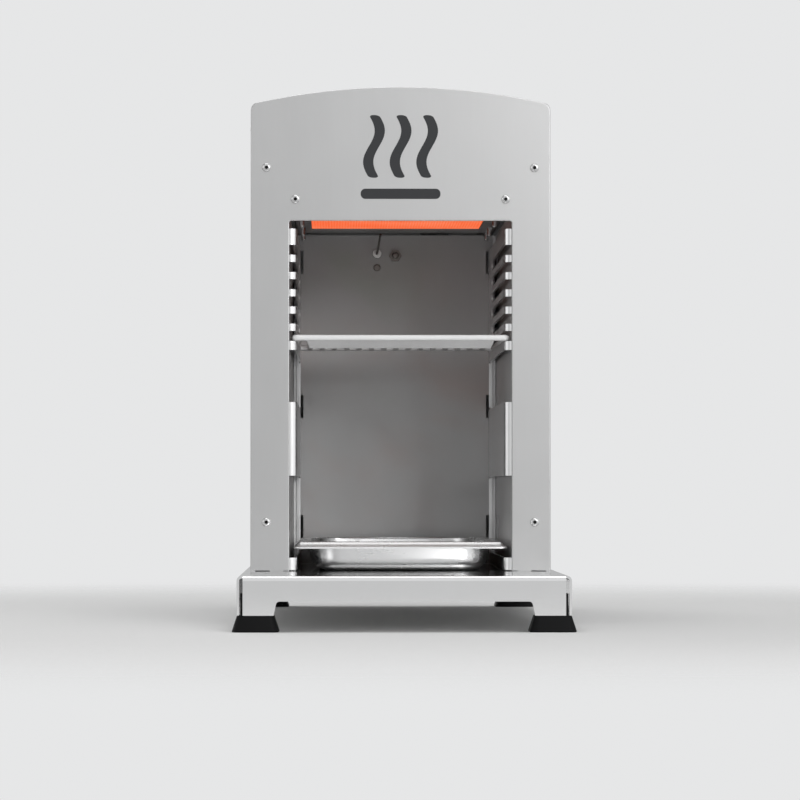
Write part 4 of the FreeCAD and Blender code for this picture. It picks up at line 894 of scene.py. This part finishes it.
knobShape = {
    "skirtRadius": 0.0220,
    "skirtHeight": 0.0030,
    "skirtFoot": 0.0004,
    "skirtEdge": 0.0008,
    "skirtEdgeSteps": 3,
    "radius": 0.0190,
    "segments": 120,
    "grooves": 12,
    "grooveDepth": 0.085,     # share of the radius
    "grooveWidth": 6,         # a higher power is a narrower groove
    "gripStarts": 1.05,       # skirt heights
    "grooveFoot": ((0.0006, 0.0001), (0.0, 0.0008)),
    "edge": 0.0016,
    "edgeSteps": 5,
    "dish": ((0.0135, 0.0), (0.0130, 0.0004)),
    "hollow": ((0.0120, 0.0050), (0.0120, 0.0)),
    "pointerWidth": 0.0016,
    "pointerStart": 0.0066,
    "pointerEnd": 0.0184,
    "pointerCorner": 0.45,    # share of its width
    "pointerDepth": 0.0006,
    "pointerRise": 0.00012,
    "pointerCornerSteps": 5,
}
inletShape = {
    "hexAcross": 0.0170,
    "hexLength": 0.0110,
    "hexChamfer": 0.0008,
    "neckRadius": 0.0080,
    "neckLength": 0.0060,
    "neckSinks": 0.0005,
    "reliefRadius": 0.0057,
    "reliefLength": 0.0015,
    "threadRadius": 0.00658,
    "threadDepth": 0.0007,
    "threadPitch": 0.001337,
    "threadCrest": (0.42, 0.58),          # shares of the pitch
    "threadLength": 0.0120,
    "threadLead": 0.0003,
    "tipDepth": 1.3,          # thread depths
    "bore": 0.0030,
    "boreLength": 0.0100,
    "edge": 0.0004,
    "segments": 40,
}
nutShape = {
    "nuts": (("inlet_nut", "inletNut", 0.0220), ("valve_nut", "valveNut", 0.0170)),
    "chamfer": 0.0006,
    "blunted": 0.2,           # share of the chamfer, off the flats
    "sideCuts": 5,
}


def gripOutline(turn, height):
    # flutes round the grip, none on the skirt
    s = knobShape
    if height < s["skirtHeight"] * s["gripStarts"]:
        return 1.0
    wave = 0.5 + 0.5 * math.cos(s["grooves"] * (turn - math.pi / s["grooves"]))
    return 1.0 - s["grooveDepth"] * wave ** s["grooveWidth"]


def makeKnob():
    s = knobShape
    low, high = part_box("control_knob")
    middle = (low + high) / 2
    height = high.y - low.y
    skirt = s["skirtHeight"]
    profile = list(s["hollow"])
    profile += [(s["skirtRadius"] - s["skirtFoot"], 0.0), (s["skirtRadius"], s["skirtFoot"])]
    profile += roundOver(s["skirtRadius"], skirt, s["skirtEdge"], s["skirtEdgeSteps"])
    profile += [(s["radius"] + out, skirt + rise) for out, rise in s["grooveFoot"]]
    profile += roundOver(s["radius"], height, s["edge"], s["edgeSteps"])
    profile += [(radius, height - depth) for radius, depth in s["dish"]]
    bm = spunSolid(profile, s["segments"], gripOutline)
    aim(bm, (middle.x, low.y, middle.z), (0, 1, 0))
    linkPiece(bm, "controlKnob", "knob", "control_knob", ["control_knob"])
    length = s["pointerEnd"] - s["pointerStart"]
    inlay = (s["pointerWidth"], length, s["pointerWidth"] * s["pointerCorner"])
    rings = [inlay + (-s["pointerDepth"],), inlay + (s["pointerRise"],)]
    bm = ringSolid(rings, s["pointerCornerSteps"])
    bmesh.ops.rotate(bm, cent=(0, 0, 0), matrix=Matrix.Rotation(math.radians(-90), 3, "X"), verts=bm.verts)
    down = (s["pointerStart"] + s["pointerEnd"]) / 2
    bmesh.ops.translate(bm, vec=(middle.x, high.y, middle.z - down), verts=bm.verts)
    linkPiece(bm, "knobPointer", "pointer", "control_knob")


def nearestAngle(outline, turn):
    return min(outline, key=lambda p: abs(math.remainder(math.atan2(p.y, p.x) - turn, 2 * math.pi)))


def hexPrism(across, height, chamfer):
    bm = bmesh.new()
    bmesh.ops.create_circle(bm, cap_ends=True, segments=6, radius=across / math.sqrt(3))
    bmesh.ops.subdivide_edges(bm, edges=bm.edges[:], cuts=nutShape["sideCuts"])
    ring = list(bm.edges)
    inner = across / 2 - chamfer * nutShape["blunted"]

    def level(verts, z, blunt):
        for v in verts:
            reach = math.hypot(v.co.x, v.co.y)
            if blunt:
                v.co.x *= inner / reach
                v.co.y *= inner / reach
            v.co.z = z

    outline = [v.co.copy() for v in bm.verts]
    level(bm.verts, 0.0, True)
    for z, blunt in ((chamfer, False), (height - chamfer, False), (height, True)):
        ring, verts = growRing(bm, ring)
        for v in verts:
            nearest = nearestAngle(outline, math.atan2(v.co.y, v.co.x))
            v.co.x, v.co.y = nearest.x, nearest.y
        level(verts, z, blunt)
    return closeUp(bm, ring)


def makeInlet():
    s = inletShape
    low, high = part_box("gas_inlet")
    middle = (low + high) / 2
    neck, edge, pitch, crest = s["hexLength"], s["edge"], s["threadPitch"], s["threadRadius"]
    relief = neck + s["neckLength"]
    thread = relief + s["reliefLength"]
    end = thread + s["threadLength"]
    profile = [(s["bore"], end - s["boreLength"]), (s["bore"], end - edge), (s["bore"] + edge, end)]
    profile += [(crest - s["threadDepth"] * s["tipDepth"], end)]
    for i in range(int(s["threadLength"] / pitch)):
        top = end - s["threadLead"] - i * pitch
        profile += [(crest - s["threadDepth"], top)]
        profile += [(crest, top - pitch * share) for share in s["threadCrest"]]
    profile += [(s["reliefRadius"], thread), (s["reliefRadius"], relief), (s["neckRadius"] - edge, relief)]
    profile += [(s["neckRadius"], relief - edge), (s["neckRadius"], neck - s["neckSinks"])]
    hexagon = hexPrism(s["hexAcross"], s["hexLength"], s["hexChamfer"])
    bm = join([spunSolid(profile, s["segments"]), hexagon])
    aim(bm, (middle.x, low.y, middle.z), (0, 1, 0))
    linkPiece(bm, "gasInlet", "brass", "root", ["gas_inlet"], sharp=25.0)


def makeNuts():
    for node, name, across in nutShape["nuts"]:
        low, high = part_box(node)
        middle = (low + high) / 2
        bm = hexPrism(across, high.y - low.y, nutShape["chamfer"])
        aim(bm, (middle.x, low.y, middle.z), (0, 1, 0))
        linkPiece(bm, name, "brass", "root", [node], sharp=25.0)


makeKnob()
makeInlet()
makeNuts()
print("knob, gas inlet and nuts are in")


# Igniter spring: a straight wire wound into a coil, at one fixed length here; the real one shortens as the
# button goes in

springShape = {
    "radius": 0.0036,
    "wire": 0.00045,
    "turns": 5,
    "stepsInTurn": 24,
    "wireSides": 10,
    "travel": 0.0060,
}


def makeSpring():
    s = springShape
    low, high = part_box("igniter_spring")
    middle = (low + high) / 2
    length = high.y - low.y
    steps = s["stepsInTurn"] * s["turns"]
    bm = spunSolid([(s["wire"], i / steps) for i in range(steps + 1)], s["wireSides"])
    for v in bm.verts:
        turn = 2 * math.pi * s["turns"] * v.co.z
        reach = s["radius"] + v.co.x
        rise = s["wire"] + (length - 2 * s["wire"]) * v.co.z + v.co.y
        v.co = (reach * math.cos(turn), reach * math.sin(turn), rise)
    anchor = (middle.x, low.y, middle.z)
    aim(bm, anchor, (0, 1, 0))
    spring = linkPiece(bm, "igniterSpring", "screw", "root", ["igniter_spring"])
    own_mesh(spring)


makeSpring()
print("igniter spring is in")


# Printed marks: a motif on the front panel, and a scale round the knob

motif = {
    "height": 0.3864,         # its middle, above the floor
    "waveLength": 0.052,
    "waveWidth": 0.0085,
    "waveRows": 28,
    "wavePitch": 0.022,
    "sway": 0.0048,
    "barWidth": 0.066,
    "barHeight": 0.0085,
    "rounding": 0.45,         # share of a stroke's width
    "gap": 0.009,
    "thickness": 0.0001,
}
dial = {
    "radius": 0.0275,
    "start": 48.0,
    "end": 225.0,
    "steps": 40,
    "rounding": 0.2,          # share of a step
    "wide": 0.0030,
    "narrow": 0.0006,
    "numberRadius": 0.0345,
    "numbers": (("0", 0.0), ("3", 60.0), ("2", 142.0), ("1", 225.0)),
    "numberSize": 0.0075,
    "thickness": 0.00008,
}


def flatStrip(width, height, rows, rounding):
    bm = bmesh.new()
    bmesh.ops.create_grid(bm, x_segments=1, y_segments=rows, size=0.5)
    bmesh.ops.scale(bm, vec=(width, height, 1.0), verts=bm.verts)
    corners = [
        v for v in bm.verts
        if abs(abs(v.co.x) - width / 2) < tiny and abs(abs(v.co.y) - height / 2) < tiny
    ]
    bmesh.ops.bevel(
        bm, geom=corners, offset=rounding, affect="VERTICES", segments=6, profile=0.5, material=-1
    )
    return bm


def standUp(bm, x, z):
    # turned to face the front, just proud of the panel
    bmesh.ops.rotate(bm, cent=(0, 0, 0), matrix=Matrix.Rotation(math.radians(90), 3, "X"), verts=bm.verts)
    bmesh.ops.translate(bm, vec=(x, panelFace - motif["thickness"], z), verts=bm.verts)


def makeMotif():
    s = motif
    low = s["height"] - (s["waveLength"] + s["gap"] + s["barHeight"]) / 2
    bar = flatStrip(s["barWidth"], s["barHeight"], 1, s["barHeight"] * s["rounding"])
    standUp(bar, 0.0, low + s["barHeight"] / 2)
    linkPiece(bar, "motifBar", "ink", "root")
    middle = low + s["barHeight"] + s["gap"] + s["waveLength"] / 2
    for i in (-1, 0, 1):
        wave = flatStrip(s["waveWidth"], s["waveLength"], s["waveRows"], s["waveWidth"] * s["rounding"])
        for v in wave.verts:
            v.co.x += s["sway"] * math.sin(2 * math.pi * v.co.y / s["waveLength"])
        standUp(wave, i * s["wavePitch"], middle)
        linkPiece(wave, "motifWave" + str(i + 2), "ink", "root")


def dialPlace(angle, radius):
    # round the knob as it turns: from straight down, by way of the left side seen from the front
    turn = math.radians(angle)
    low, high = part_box("control_knob")
    middle = (low + high) / 2
    x = middle.x - radius * math.sin(turn)
    z = middle.z - radius * math.cos(turn)
    return Vector((x, rearFace + dial["thickness"], z))


def makeDial():
    steps = dial["steps"]
    bm = flatStrip(1.0, float(steps), steps, dial["rounding"])
    for v in bm.verts:
        share = (v.co.y + steps / 2) / steps
        angle = dial["start"] + (dial["end"] - dial["start"]) * share
        width = dial["wide"] + (dial["narrow"] - dial["wide"]) * share
        v.co = dialPlace(angle, dial["radius"] + width * (0.5 + v.co.x))
    bmesh.ops.recalc_face_normals(bm, faces=bm.faces)
    if bm.faces[0].normal.y < 0:
        bmesh.ops.reverse_faces(bm, faces=bm.faces)
    linkPiece(bm, "dialWedge", "ink", "root")
    facing = Matrix.Rotation(math.pi, 4, "Z") @ Matrix.Rotation(math.pi / 2, 4, "X")
    for number, angle in dial["numbers"]:
        curve = bpy.data.curves.new("number", "FONT")
        curve.body = number
        curve.size = dial["numberSize"]
        curve.align_x = "CENTER"
        curve.align_y = "CENTER"
        written = bpy.data.objects.new("number", curve)
        bpy.context.scene.collection.objects.link(written)
        bpy.context.view_layer.update()
        mesh = bpy.data.meshes.new_from_object(written)
        bpy.data.objects.remove(written)
        mesh.transform(Matrix.Translation(dialPlace(angle, dial["numberRadius"])) @ facing)
        bm = bmesh.new()
        bm.from_mesh(mesh)
        linkPiece(bm, "dialNumber" + number, "ink", "root")


makeMotif()
makeDial()
print("printed marks are on")
